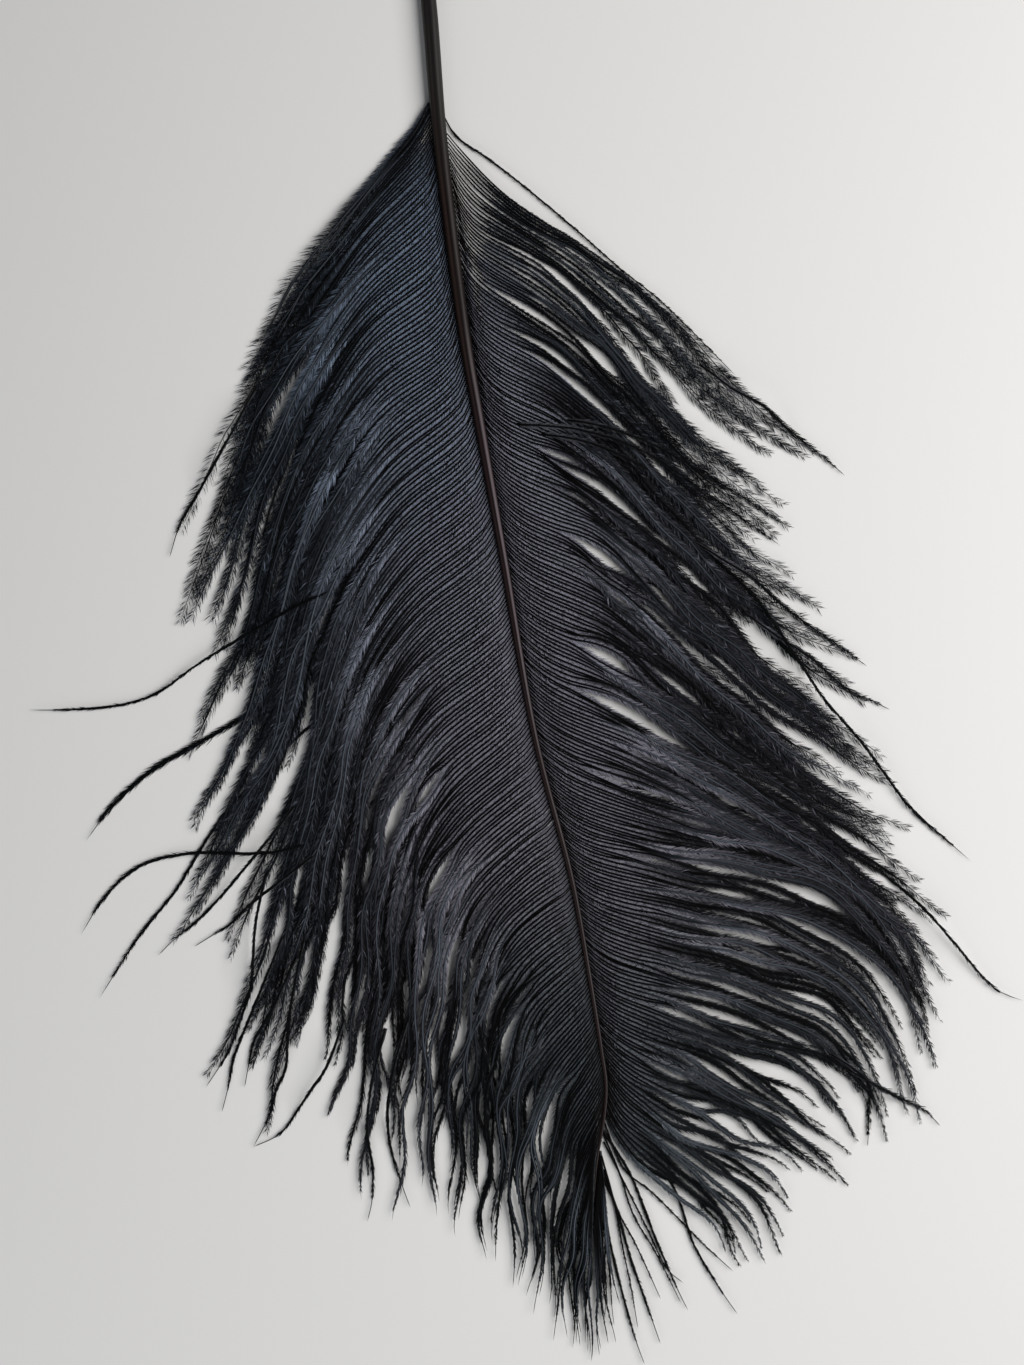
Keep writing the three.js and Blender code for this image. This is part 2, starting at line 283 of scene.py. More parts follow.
rightVane = {
    "side": 1, "first": 106.4, "last": -109.5, "spacing": (1.06, 0.86), "cuts": (72, 134),
    "guides": [
        (110, (-15, 105), (-9, 99), (3.5, 91), (16, 81.5), (36, 66), (46, 53.5)),
        (106, (-15.3, 103.6), (-12.7, 100.8), (-8.4, 96.4), (-1.5, 90.5), (15.5, 80), (34, 64.5),
         (50.5, 46.5), (70, 31.5)),
        (94.5, (-11.5, 88.5), (3, 80), (14, 71.5), (29.5, 55.5), (41, 44), (61, 31)),
        (81, (-9.5, 76), (5, 67), (15.5, 58), (30.5, 41.5), (41.5, 30.5), (59.5, 15.5)),
        (68, (-8, 63), (6.5, 54.5), (21.5, 40.5), (31, 30), (47, 14), (68.5, 0)),
        (55, (-6, 50), (8.5, 42.5), (24.5, 29), (34, 18.5), (49.5, 2.5), (75, -11)),
        (41.5, (-3.5, 37.5), (12, 30), (27.5, 16), (37.5, 5.5), (54, -9.5), (75, -25.5)),
        (28.5, (-1, 24), (14, 17), (30, 3.5), (46, -12), (64, -27), (81, -41)),
        (15, (1, 11), (17, 3.5), (33, -10), (49.5, -25), (67, -40), (87.5, -48)),
        (2, (3.5, -2), (19.5, -9.5), (36, -22.5), (54, -36.5), (72, -50), (90, -63)),
        (-11, (6, -15.5), (22.5, -22.5), (40.5, -34), (59, -46), (76, -60), (95.5, -74.5)),
        (-24.5, (8.5, -28.5), (25, -35.5), (44.5, -45), (63, -55), (80.5, -69.5), (92.5, -91.5)),
        (-37.5, (11.5, -41.5), (28.5, -47), (49.5, -51), (69.5, -58.5), (84.5, -75.5), (90.5, -97.5)),
        (-51, (14, -54), (32, -58.5), (53.5, -63), (67, -68), (81.5, -83.5), (86.5, -104.5)),
        (-63, (17, -66), (35, -71.5), (49.5, -74.5), (70, -82.5), (79, -93), (86.5, -111.5)),
        (-74, (19, -77.5), (30, -81), (44, -85), (64.5, -92.5), (74.5, -102), (81, -118)),
        (-84, (20.5, -87.5), (31, -92), (44.5, -97), (58, -102.5), (69, -110), (77, -120)),
        (-92.5, (22, -97), (32, -102.5), (44, -108), (61.5, -118), (74, -128)),
        (-100.5, (22, -105.5), (31, -112), (42.5, -118.5), (53, -126), (60, -137.5)),
        (-106, (21, -111), (29.5, -118), (43.5, -130.5), (49.5, -143)),
        (-110, (20.5, -115.5), (27, -123.5), (35.5, -132), (41.5, -141.5))],
    "tips": [
        (106.2, 56.5, 42.5), (105, 70.5, 31.5), (102, 58, 37), (99, 61.5, 35.5),
        (95.5, 61, 31), (91, 52.5, 29.5), (87.5, 56.5, 25.5), (83.5, 59.5, 19), (79.5, 59.5, 15.5),
        (72.5, 64.5, 7.5), (67.5, 66.5, 3.5), (63.5, 69, 0), (59.5, 68, -4), (54.5, 75.5, -11),
        (48.5, 73, -15.5), (44, 80, -20), (39.5, 73, -26), (34.5, 78, -32), (28.5, 81.5, -37.5),
        (23.5, 86.5, -40), (18.5, 87, -46.5), (13, 82, -48), (7.5, 90, -53.5), (2, 92.5, -59),
        (-4.5, 96, -68.5), (-10, 101, -76), (-15.5, 96.5, -78.5), (-23.5, 94.5, -91), (-27.5, 92.5, -91.5),
        (-36.5, 90.5, -97.5), (-42, 88.5, -101.5), (-51, 91, -105.5), (-57.5, 87, -112), (-63, 85, -110),
        (-68.5, 80, -113), (-74, 81, -119), (-79.5, 75, -117.5), (-84, 77, -125.5), (-91.5, 74, -128),
        (-95, 65.5, -125), (-97, 65, -129), (-99, 62.5, -130.5), (-100.5, 60, -138.5),
        (-102.5, 57, -140.5), (-104.5, 54, -141.5), (-106, 49.5, -143), (-108, 46, -143.5)],
    "gaps": [
        (-7, 73.5, 8.5, 62.5, 0.5), (0, 61.5, 17, 46, 0.5), (2, 77, 14, 67, 0.5), (-4, 66, 8, 56, 0.45),
        (-6, 97, 16, 79.5, 0.5), (20, 75.5, 30, 64.5, 0.5), (4, 78.5, 12, 70, 0.5), (7, 85, 17, 74, 0.45),
        (12.5, 70, 22, 58.5, 0.85), (4, 61.5, 12, 53, 0.55), (13.5, 62, 20, 52, 0.8), (24, 66, 31, 57, 0.6),
        (22.5, 60.5, 26.5, 51, 0.7), (39, 44, 52, 33, 0.9), (3.5, 38.5, 14, 30.5, 0.75),
        (7.5, 34.5, 25, 21.5, 0.8), (11.5, 20.5, 24.5, 4.5, 1.2), (18, 7, 23.5, 1, 0.7),
        (13, -4.5, 25, -13.5, 1.15), (13, -15.5, 36.5, -28.5, 1.05), (25, -9, 41.5, -20.5, 0.95),
        (43, -22.5, 49.5, -28.5, 0.8), (14.5, -32, 38, -43, 0.8), (28.5, -40.5, 47.5, -50, 0.6),
        (19, -49, 38.5, -58, 0.55), (46.5, 5, 56, -14, 1.25), (38, -62.5, 53, -68, 0.4),
        (50.5, -58.5, 62, -62.5, 0.42), (58, -66.5, 72.5, -72.5, 0.4), (35.5, -70, 53, -77, 0.4),
        (36, -77.5, 51.5, -83.5, 0.43), (38, -84.5, 60, -93, 0.4), (66.5, -85, 78.5, -93.5, 0.44),
        (46.5, -96.5, 58.5, -102.5, 0.4), (54, -100.5, 76, -104.5, 0.3),
        (53.5, -104.5, 60.5, -109, 0.3), (35, -116.5, 44.5, -122, 0.35), (42, -110, 52, -117.5, 0.3),
        (51.5, -114.5, 60, -121, 0.4), (71, -38.5, 78, -43, 0.68), (60, -44, 65, -47, 0.56),
        (79, -62, 82, -71.5, 0.3), (85, -69.5, 89, -80.5, 0.36), (25, 13, 36, -4.5, 0.51),
        (27, -92.5, 38, -98, 0.37), (25, -63, 36, -68.5, 0.37), (27, -75, 38, -80.5, 0.43),
        (28.5, -84, 38, -88, 0.37)],
    "profile": {
        "y": (106, 98, 90, 76, 59, 40, 13, -31, -62, -95, -110),
        "angle": (28, 28, 29, 30, 30, 29, 28, 26, 24, 24, 23),
        "innerAngle": (28, 28, 28, 30, 30, 30, 30, 29, 28, 28, 26),
        "length": (2.8, 2.8, 2.8, 2.8, 2.8, 2.8, 2.6, 2.2, 1.8, 1.7, 1.5),
        "inner": (0.3, 0.3, 0.3, 0.38, 0.5, 0.65, 0.85, 1.05, 1.2, 1.2, 1.2),
        "outer": (0.65, 0.65, 0.65, 0.7, 0.7, 0.7, 0.65, 0.55, 0.5, 0.45, 0.4),
        "thin": (0.6, 0.6, 0.6, 0.6, 0.6, 0.6, 0.6, 0.5, 0.45, 0.4, 0.35),
        "thinFrom": (0.45, 0.45, 0.5, 0.6, 0.68, 0.7, 0.72, 0.7, 0.7, 0.7, 0.7),
        "bareRoot": (9, 8, 5, 2, 0.5, 0.2, 0.2, 0.2, 0.2, 0.2, 0.2),
        "stem": (0.84, 0.84, 0.86, 0.9, 0.95, 1, 1, 1, 1, 0.95, 0.85),
        "mat": (0, 0, 0.08, 0.45, 0.9, 1, 1, 1, 1, 1, 1),
        "rise": (0.5, 0.5, 0.7, 1.1, 1.5, 1.75, 1.75, 1.75, 1.75, 1.6, 1.2),
        "departure": (2.2, 2.2, 2.1, 1.8, 1.3, 1.0, 0.8, 0.7, 0.7, 0.7, 0.6),
        "bareTip": (0, 0, 0, 0, 0, 0, 0, 0.5, 0.5, 0.5, 1),
        "gather": (0.15, 0.15, 0.18, 0.22, 0.26, 0.26, 0.25, 0.22, 0.2, 0.22, 0.3),
        "tight": (0.36, 0.38, 0.48, 0.62, 0.68, 0.62, 0.54, 0.38, 0.26, 0.22, 0.24),
        "fray": (0.3, 0.3, 0.35, 0.45, 0.5, 0.5, 0.5, 0.4, 0.3, 0.3, 0.3),
        "between": (1, 1, 1, 0.9, 0.8, 0.9, 1, 1, 1, 1, 0.9),
        "sway": (0.4, 0.5, 0.7, 1.2, 2.0, 2.4, 2.2, 1.6, 1.0, 0.7, 0.5),
        "curl": (0.1, 0.1, 0.15, 0.2, 0.3, 0.35, 0.4, 0.4, 0.35, 0.3, 0.2),
        "wander": (0.6, 0.7, 0.9, 1.4, 2.0, 2.4, 2.4, 1.9, 1.4, 1.1, 0.8),
        "ragged": (0.15, 0.25, 0.3, 0.33, 0.35, 0.36, 0.36, 0.34, 0.32, 0.3, 0.2),
        # light, shade, crown and hue as in the left vane: painted sheen, painted shade, painted light on the
        # top barbs
        "light": (0.3, 0.4, 0.6, 0.98, 1.24, 1.25, 1.2, 1.06, 0.9, 0.72, 0.52),
        "shade": (0.78, 0.8, 0.82, 0.85, 0.87, 0.87, 0.87, 0.86, 0.82, 0.75, 0.5),
        "shadeFrom": (0.1, 0.1, 0.12, 0.14, 0.18, 0.22, 0.24, 0.24, 0.24, 0.24, 0.24),
        "crown": (2.0, 2.0, 2.0, 2.0, 1.9, 1.8, 1.8, 1.9, 2.0, 2.1, 2.0),
        "hue": (0.1, 0.1, 0.15, 0.25, 0.35, 0.4, 0.45, 0.55, 0.75, 0.9, 1),
    },
}
# The sparse barbs of the right side below the last lock, which run on with the left ones as a tuft
tuft = {
    "side": 1, "first": -117, "last": -130.8, "spacing": (0.9, 0.9),
    "guides": [
        (-117, (17, -124.5), (18, -135.5), (19, -146.5), (20, -151)),
        (-123.5, (16, -130), (17, -141), (18, -152), (19, -159.5)),
        (-130.5, (15, -135.5), (15.5, -144.5), (15.5, -154), (16, -163))],
    "tips": [
        (-117, 20, -151), (-121, 19.5, -156), (-124, 19, -159.5), (-127, 17.5, -160), (-130, 16, -163)],
    "gaps": [],
    "profile": {  # a single number holds all along
        "y": (-117, -131), "bareRoot": (2, 1), "bareTip": (5, 4), "angle": 12, "innerAngle": 12,
        "length": 1.1, "inner": 1, "outer": 0.3, "thin": 0.2, "thinFrom": 0.5, "stem": 0.8, "mat": 1,
        "rise": 1, "departure": 0.8, "gather": 0.4, "tight": 0.7, "fray": 0.1, "between": 1, "sway": 1,
        "curl": 0.3, "wander": 0.6, "ragged": 0.15, "light": 0.4, "shade": 0.3, "shadeFrom": 0.3,
        "crown": 3.2, "hue": 1,
    },
}
# Single barbs that cross the vane or stick out of it, each all the way from under the others
leftStrays = [
    [(-50, -40), (-57.5, -49.5), (-65, -58.5), (-69, -63), (-72.5, -66.5), (-77.5, -70.5), (-81, -74)],
    [(-45.5, -51), (-54, -57.5), (-61, -63), (-65, -67), (-69, -69.5), (-73, -72)],
    [(-57, -55), (-59.5, -67.5), (-60, -75), (-60.5, -81), (-62.5, -87), (-65.5, -95), (-70.5, -103)],
    [(-53, -68.5), (-59.5, -84.5), (-62.5, -91.5), (-64.5, -97), (-65.5, -102.5), (-67, -108.5)],
    [(-50, -73), (-56, -86), (-60, -93), (-61, -97.5), (-62, -103)],
    [(-48.5, -68.5), (-51.5, -84), (-52.5, -93.5), (-53, -99), (-55, -103.5), (-56.5, -109), (-60, -116)],
    [(-40, -88), (-44, -98.5), (-47, -103), (-50, -107.5), (-53, -112), (-55.5, -114), (-60, -116)],
    [(-59, 51.5), (-64, 42), (-68.5, 34), (-72, 28), (-74.5, 24), (-76.5, 20), (-78.5, 13.5)],
    [(-25.5, -86), (-29, -98), (-30.5, -108), (-30, -115.5), (-27, -125.5), (-25.5, -129.5)],
    [(-31, -90), (-34, -102), (-35, -112.5), (-33.8, -121), (-34, -128), (-35, -132.5)],
]
bareStrays = [
    [(-18.9, 112), (-17.5, 109.3), (-15.8, 106.4), (-12.9, 104.1), (-9.7, 102.1), (-1, 95.5),
     (11.8, 84.8), (20.6, 77), (29.4, 70), (46, 53.5)],
    [(17, -113.5), (20.5, -122), (23.5, -131), (28.5, -139.5), (34, -150.5)],
    [(17, -121), (20.5, -131), (23.5, -136.5), (29.5, -149.5)],
    [(16.5, -109), (21.5, -121), (27.5, -126), (39, -137.5), (45.5, -143.5)],
    [(16.5, -118), (19.2, -128), (21.3, -139), (23, -147), (24.5, -156)],
    [(17, -115), (21.5, -124), (26.5, -134), (31, -143), (34.5, -146)],
]
rightStrays = [
    [(-9, 47.5), (-3.6, 43.2), (4, 42.3), (11.8, 41.4), (25.2, 37), (40.6, 27), (56, 16)],
    [(-9, 45.5), (-3, 41.4), (5, 40.3), (14, 38.5), (28, 32), (42, 22), (52, 12)],
    [(-9.3, 49.5), (-5, 45.5), (2, 44.4), (14, 42.8), (27, 38.6), (44, 29), (58, 20)],
    [(38, 56), (45, 50.5), (51.5, 47), (56, 43), (61, 39), (66, 35), (70, 31.5)],
    [(36, 17.5), (43, 13), (49.5, 9), (55.5, 3.5), (61.5, -1), (67.5, -5), (75, -10.5)],
    [(47, 2), (54.5, -3.5), (63, -9), (67.5, -13), (71.5, -16), (76, -18), (80, -20)],
    [(66, -95), (71.5, -98.5), (75, -102), (75.3, -108), (75, -116)],
    [(69, -98), (77, -102.5), (83.5, -106), (87.5, -108), (91, -111.5)],
]
strayStyle = {  # as in the vanes' profiles
    "angle": 22, "innerAngle": 22, "length": 1.9, "inner": 1, "outer": 0.4, "thin": 0.3, "thinFrom": 0.5,
    "bareRoot": 1, "bareTip": 3, "mat": 0.6, "stem": 1, "light": 0.45, "shade": 0.2, "shadeFrom": 0.3,
    "hue": 0.8, "crown": 3.2}
ropeStyle = {
    **strayStyle, "angle": 14, "innerAngle": 14, "length": 1.5, "outer": 0.3, "thin": 0.1, "bareTip": 6,
    "mat": 1, "light": 0.35, "hue": 0.9}
bareStyle = {
    **strayStyle, "angle": 16, "innerAngle": 16, "length": 1.1, "outer": 0.5, "thin": 0.55, "thinFrom": 0,
    "bareRoot": 4, "bareTip": 5, "mat": 0.5, "stem": 0.95, "light": 0.3}
# Shares of its length at which a single barb comes out on top of the vane and lies down beside it
overVane = (0.05, 0.6)
underVane = (2, 2)  # past the tip, so never
crossVane = [(0.12, 0.6), (0.2, 0.6), (0.27, 0.6)]  # of the first right strays, one after the other
# The barbs that lie clear of the vanes: the plain solid that each stands for, its shares as above,
# how long its barbules are beside a rope's, and its route
looseBarbs = {
    "loose_barb_left_1": ((0.33, 0.7), 0.9, [
        (-10, 27), (-15.5, 20.5), (-23.5, 16.5), (-32, 11.5), (-41, 7), (-50, 3), (-58, -1.5), (-64, -5),
        (-73, -10.5), (-81.5, -16.5), (-89.5, -19), (-102, -20), (-109.5, -20)]),
    "loose_barb_left_2": (underVane, 1.9, [
        (-6.5, 12), (-20, 1.5), (-34.5, -6.5), (-45.5, -12), (-55.5, -17.5), (-63, -22), (-70.5, -26.5),
        (-82, -33), (-91, -41), (-97, -49)]),
    "loose_barb_left_3": ((0.5, 0.72), 1.2, [
        (-1, -18), (-10, -22.5), (-19, -27.5), (-28, -34.5), (-34.5, -41), (-43, -47), (-52, -50.5),
        (-59.5, -51.5), (-74, -51.5), (-85.5, -54.5), (-93, -61.5), (-98, -69.5)]),
    "loose_barb_left_4": (underVane, 1.0, [
        (-4.5, 2), (-12.5, -2), (-21, -7), (-32, -13.5), (-43, -20), (-52, -27.5), (-59.5, -35.5),
        (-66.5, -43), (-71, -49.5), (-77, -59.5), (-85, -69.5), (-94, -83.5)]),
    "loose_barb_right_1": ((0.5, 0.85), 1.0, [
        (-8, 56), (6, 45), (24.5, 30), (38, 16.5), (50, 5), (57.5, -6), (61.5, -12), (65, -17.5), (69, -22),
        (73.5, -27), (79, -34.5), (85, -42.3), (90.5, -47), (98, -53.5)]),
    "loose_barb_right_2": ((0.72, 0.9), 1.0, [
        (4.5, -32), (20.5, -36.5), (34, -38.5), (47, -42), (62.5, -47.5), (75.5, -54), (85.5, -62),
        (92.5, -69.5), (100.5, -79), (104, -82), (109.5, -84)]),
    "loose_barb_tip_1": (underVane, 0.8, [
        (16.5, -123.5), (18, -135), (20.5, -146), (24, -158.5), (26, -164)]),
    "loose_barb_tip_2": (underVane, 0.8, [
        (16.5, -121.5), (20, -130.5), (23, -141), (26, -149.5), (29.5, -159.5)]),
    "loose_barb_tip_3": (underVane, 0.8, [
        (16.5, -112), (22.5, -121.5), (28.5, -136.5), (33.5, -148), (35.5, -152)]),
    "loose_barb_tip_4": (underVane, 0.8, [
        (17, -108), (31.5, -123.5), (37, -138), (43, -148), (46.5, -153)]),
}
barb = {
    "steps": 40,  # points along a barb
    "rootWidth": 0.17,  # half thickness where it leaves the shaft
    "innerWidth": 0.265,  # and a little further out
    "tipWidth": 0.09,
    "rootJitter": 0.00035,  # how unevenly the roots stand, as a share of the shaft
    "lockJitter": 0.0015,  # how far off a barb may choose its lock
    "tipJitter": 1.2,  # how far the tips of the locks in between lie off
    "lockWaves": (0.55, 0.4, 0.2),  # how much a lock strays in one, two and three half waves
    "ownWaves": (0.7, 0.5, 0.25),  # and a barb by itself: straight, in one and in three
    "ripples": [  # size, waves along the shaft and out along the barb, start
        (0.0016, 190, 5, 0.4), (0.0012, 410, -7, 2.2), (0.0008, 900, 9, 4.1)],
    "lockHalf": 0.006,  # half of a lock's share of the shaft, past which barbs are much shorter
    "sideShorter": 0.08,  # how much shorter they are
    "departureReach": 1.15,  # how soon a barb turns away from the shaft
    "outerHeight": 0.5,
    "leastHeight": 0.4,
    "lockLayer": 1.0,  # how high locks lie on each other
    "barbLayer": 0.9,  # and barbs within one
    "topShares": (0.35, 0.65),  # how much a lock's height and a barb's own bring it to the top
    "curlLength": 24,  # from one wave of a lock to the next
    "hook": 2.6,  # how far tips turn aside, in sizes of those waves
    "crossing": 0.06,  # share of the barbs that lie across the gaps
    "strayHeight": 2.6,  # how far a stray on top of the vane lies above one on the floor
}
parting = {
    "past": 0.12,  # how far a gap runs on at both ends, as a share of its length
    "bluntness": 0.8,  # below 1 a gap stays wide for most of its length
    "push": 1.25,  # how far the nearest barbs are pushed, in half widths of the gap
    "reach": 4.5,  # and how far off it they still move
    "farReach": 5,  # beyond this a barb doesn't count as passing it
}
down = {
    "spacing": 0.245,  # between barbules on one side of a barb
    "looseSpacing": 0.25,  # the same on the barbs that lie clear
    "halfWidth": 0.1,
    "bend": [(0.4, 1.2), (0.6, 0.8)],  # both parts' shares of the length and of the angle
    "rootDrop": 0.06,  # how far below the stem's middle they begin
    "leastHeight": 0.04,
    "innerDroop": 0.26,  # how far they hang, as a share of their length
    "outerDroop": 0.12,
    "jitter": 0.25,  # how unevenly they stand, in shares of the spacing
    "leanJitter": 5,  # and how unevenly they lean, in degrees
    "start": 1.4,  # where the first ones stand
    "fullFrom": (1, 7),  # past the bare root, where they grow to their full length
    "tipReach": 12,  # before the tip, where they get shorter and rarer
    "nearBlack": 0.02,  # painted shade: how light the deepest barbs are beside the top ones
    "patchy": 0.16,  # how much lightness differs from one to the next
    "hueJitter": 0.02,
    "bladeTone": (-0.12, 0.0, 0.02, 0.08),  # added at a barbule's root, both sides and tip
    "glint": 0.45,  # how light one gets that catches the light
    "glintRarity": 7,
    "matWidth": 0.42,  # half width of the pressed down under a stem, as a share of the barbules' reach
    "matBase": 0.14,  # added to it all along
    "matGap": 0.12,  # between the stem and the pressed down
    "matDrop": 0.5,  # how far its edges hang
    "matLight": 0.08,  # how light it is further out
    "matLeastHeight": 0.03,
    "matRootFloorShade": 0.62,  # painted shade: how much lighter it is beside the shaft, where no barbules cover it, in the grey of the floor in shade between the stems
    "matRootWidth": 0.28,  # added there to its half width
}
flowSteps = 40  # steps along a guide barb


def flowOf(vane):
    # Guide barbs as offsets from their roots at equal steps, with a tenth more past the tip
    shares, offsets = [], []
    for y, *points in vane["guides"]:
        share = shareAt(y)
        middle, _, right, radius = onShaft(share)
        root = middle + right * radius * vane["side"]
        path = curveThrough([root] + points, flowSteps + 1)
        past = path[-1] + (path[-1] - path[-2]) * np.arange(1, flowSteps // 10 + 1)[:, None]
        shares.append(share)
        offsets.append(np.vstack([path, past]) - root)
    return np.array(shares), np.array(offsets)


def flowAt(vane, flow, share, out):
    # Place of the flow at a share of the shaft and a share out along the barb: a Catmull-Rom blend
    # of the four nearest guides across, straight lines along
    shares, offsets = flow
    at = np.clip(np.interp(share, shares, np.arange(len(shares))), 0, len(shares) - 1.0001)
    cell = at.astype(int)
    t = (at - cell)[..., None]
    step = np.clip(out * flowSteps, 0, offsets.shape[1] - 1.001)
    low = step.astype(int)
    part = (step - low)[..., None]

    def guide(shift):
        row = np.clip(cell + shift, 0, len(shares) - 1)
        return offsets[row, low] * (1 - part) + offsets[row, low + 1] * part

    a, b, c, d = (guide(shift) for shift in (-1, 0, 1, 2))
    offset = b + 0.5 * t * (c - a + t * (2 * a - 5 * b + 4 * c - d + t * (3 * (b - c) + d - a)))
    middle, _, right, radius = onShaft(share)
    return middle + right * radius[..., None] * vane["side"] + offset


def styleAt(profile, y):
    # The profile's values for barbs that leave the shaft at the heights y, straight lines between
    # its own; a single number holds all along
    places = -np.array(profile["y"], float)
    return {key: np.interp(-y, places, np.broadcast_to(values, places.shape))
            for key, values in profile.items() if key != "y"}


def locksOf(vane, flow):
    # For each lock the share of the shaft that it grows from, how far its tip lies off the flow and
    # how far it reaches. Between neighbours lies a shorter one with the mean of their places
    locks = np.array(vane["tips"], float)
    share = shareAt(locks[:, 0])
    off = locks[:, 1:] - flowAt(vane, flow, share, np.ones(len(share)))
    between = (share[:-1] + share[1:]) / 2
    chance = styleAt(vane["profile"], yAt(between))["between"]
    offBetween = (off[:-1] + off[1:]) / 2 + draw.normal(0, barb["tipJitter"], (len(between), 2))
    reach = np.concatenate([np.ones(len(share)), draw.uniform(0.8, 0.96, len(between))])
    there = np.concatenate([np.ones(len(share), bool), draw.random(len(between)) < chance])
    share = np.concatenate([share, between])
    order = np.argsort(share)
    order = order[there[order]]
    return share[order], np.concatenate([off, offBetween])[order], reach[order]


def openGaps(vane, paths):
    # Barbs that pass a gap are pushed aside: by its half width at the middle of the gap, falling to
    # nothing at its ends and a few half widths from its line
    past = parting["past"]
    for x0, y0, x1, y1, half in vane["gaps"]:
        start, end = np.array([x0, y0]), np.array([x1, y1])
        line = end - start
        length = np.linalg.norm(line)
        line = line / length
        across = turned(line)
        rel = paths - start
        t = rel @ line / length
        d = rel @ across
        shape = np.sin(np.pi * np.clip((t + past) / (1 + 2 * past), 0, 1)) ** parting["bluntness"]
        weight = shape * (np.abs(d) < parting["farReach"] * half)
        mean = (weight * d).sum(1) / np.maximum(weight.sum(1), 1e-6)
        sign = np.where(mean >= 0, 1.0, -1.0)[:, None]
        ownSide = 1 - smooth(0, parting["reach"] * half, sign * d)
        otherSide = 1 - smooth(2 * half, parting["farReach"] * half, -sign * d)
        near = (weight.sum(1) > 0)[:, None]
        push = near * sign * shape * half * parting["push"] * (ownSide * otherSide)
        paths = paths + push[..., None] * across
    return paths


def rootsOf(vane):
    # The first barb's share of the shaft, and all of them: the steps between them change evenly
    # from the first to the last
    first, last = shareAt(vane["first"]), shareAt(vane["last"])
    near, far = vane["spacing"]
    count = int((last - first) * shaftLength * 2 / (near + far))
    rank = np.linspace(0, 1, count)
    share = first + (last - first) * rank * (2 * near + (far - near) * rank) / (near + far)
    return first, share + draw.normal(0, barb["rootJitter"], count)


def weighted(ways, sizes, forms):
    # The sum of the forms, each times its size and every barb's own way
    return sum(size * ways[:, [n]] * form for n, (size, form) in enumerate(zip(sizes, forms)))


def courseOf(share, first, home, lock, lockCount, style, out):
    # Share of the shaft whose flow a barb follows at each point: its own at the root, drawn to that
    # of its lock, with ripples and with strays that locks and single barbs make
    gather, tight, fray = (style[key][:, None] for key in ("gather", "tight", "fray"))
    sway, wander = (style[key][:, None] / shaftLength for key in ("sway", "wander"))
    lockWay = draw.uniform(-1.5, 1.5, (lockCount, 3))[lock]
    ownWay = draw.normal(0, 1, (len(share), 3))
    outer = smooth(gather - 0.05, 1, out) * (0.2 + 0.8 * smooth(first, first + 0.05, share))[:, None]
    pull = smooth(gather, gather + 0.4, out) * tight * (1 - fray * smooth(gather + 0.3, 1, out))
    ripple = sum(size * np.sin(share[:, None] * a + out * b + c) * smooth(0.1, 0.5, out)
                 for size, a, b, c in barb["ripples"])
    one, two, three = (np.sin(number * np.pi * outer) for number in (1, 2, 3))
    lockStray = weighted(lockWay, barb["lockWaves"], (one, two, three))
    ownStray = weighted(ownWay, barb["ownWaves"], (outer, one, three))
    course = share[:, None] + (home - share)[:, None] * pull + ripple
    return course + lockStray * sway + ownStray * wander


def curled(paths, lock, lockCount, style, out):
    # Each lock waves from side to side at steps of the curl's length, and its tip hooks to one side
    length = lengthsAlong(paths)[:, -1:]
    aside = turned(unit(np.gradient(paths, axis=1)))
    phase = draw.uniform(0, 2 * np.pi, lockCount)[lock]
    hook = draw.uniform(-1, 1, lockCount)[lock]
    gather = style["gather"][:, None]
    wave = np.sin(2 * np.pi * out * length / barb["curlLength"] + phase[:, None])
    curl = wave * smooth(gather, gather + 0.3, out)
    curl = curl + barb["hook"] * hook[:, None] * smooth(0.75, 1, out) ** 1.5
    return paths + aside * (style["curl"][:, None] * curl)[..., None], length


def heightsOf(radius, lockHigh, ownHigh, style, out):
    # From the shaft's side to the style's rise and down to the outer height, plus a layer for each
    # lock and barb, which settles at both ends
    rise = style["rise"][:, None]
    onSlope = smooth(0, 0.12, out)
    height = radius[:, None] * 1.05 * (1 - onSlope) + onSlope * (
        rise + (barb["outerHeight"] - rise) * smooth(0.25, 0.8, out))
    settle = smooth(0.22, 0.5, out) * (1 - 0.7 * smooth(0.65, 1, out)) * rise / 1.75
    height = height + (barb["lockLayer"] * lockHigh + barb["barbLayer"] * ownHigh) * settle
    return np.maximum(height, barb["leastHeight"])


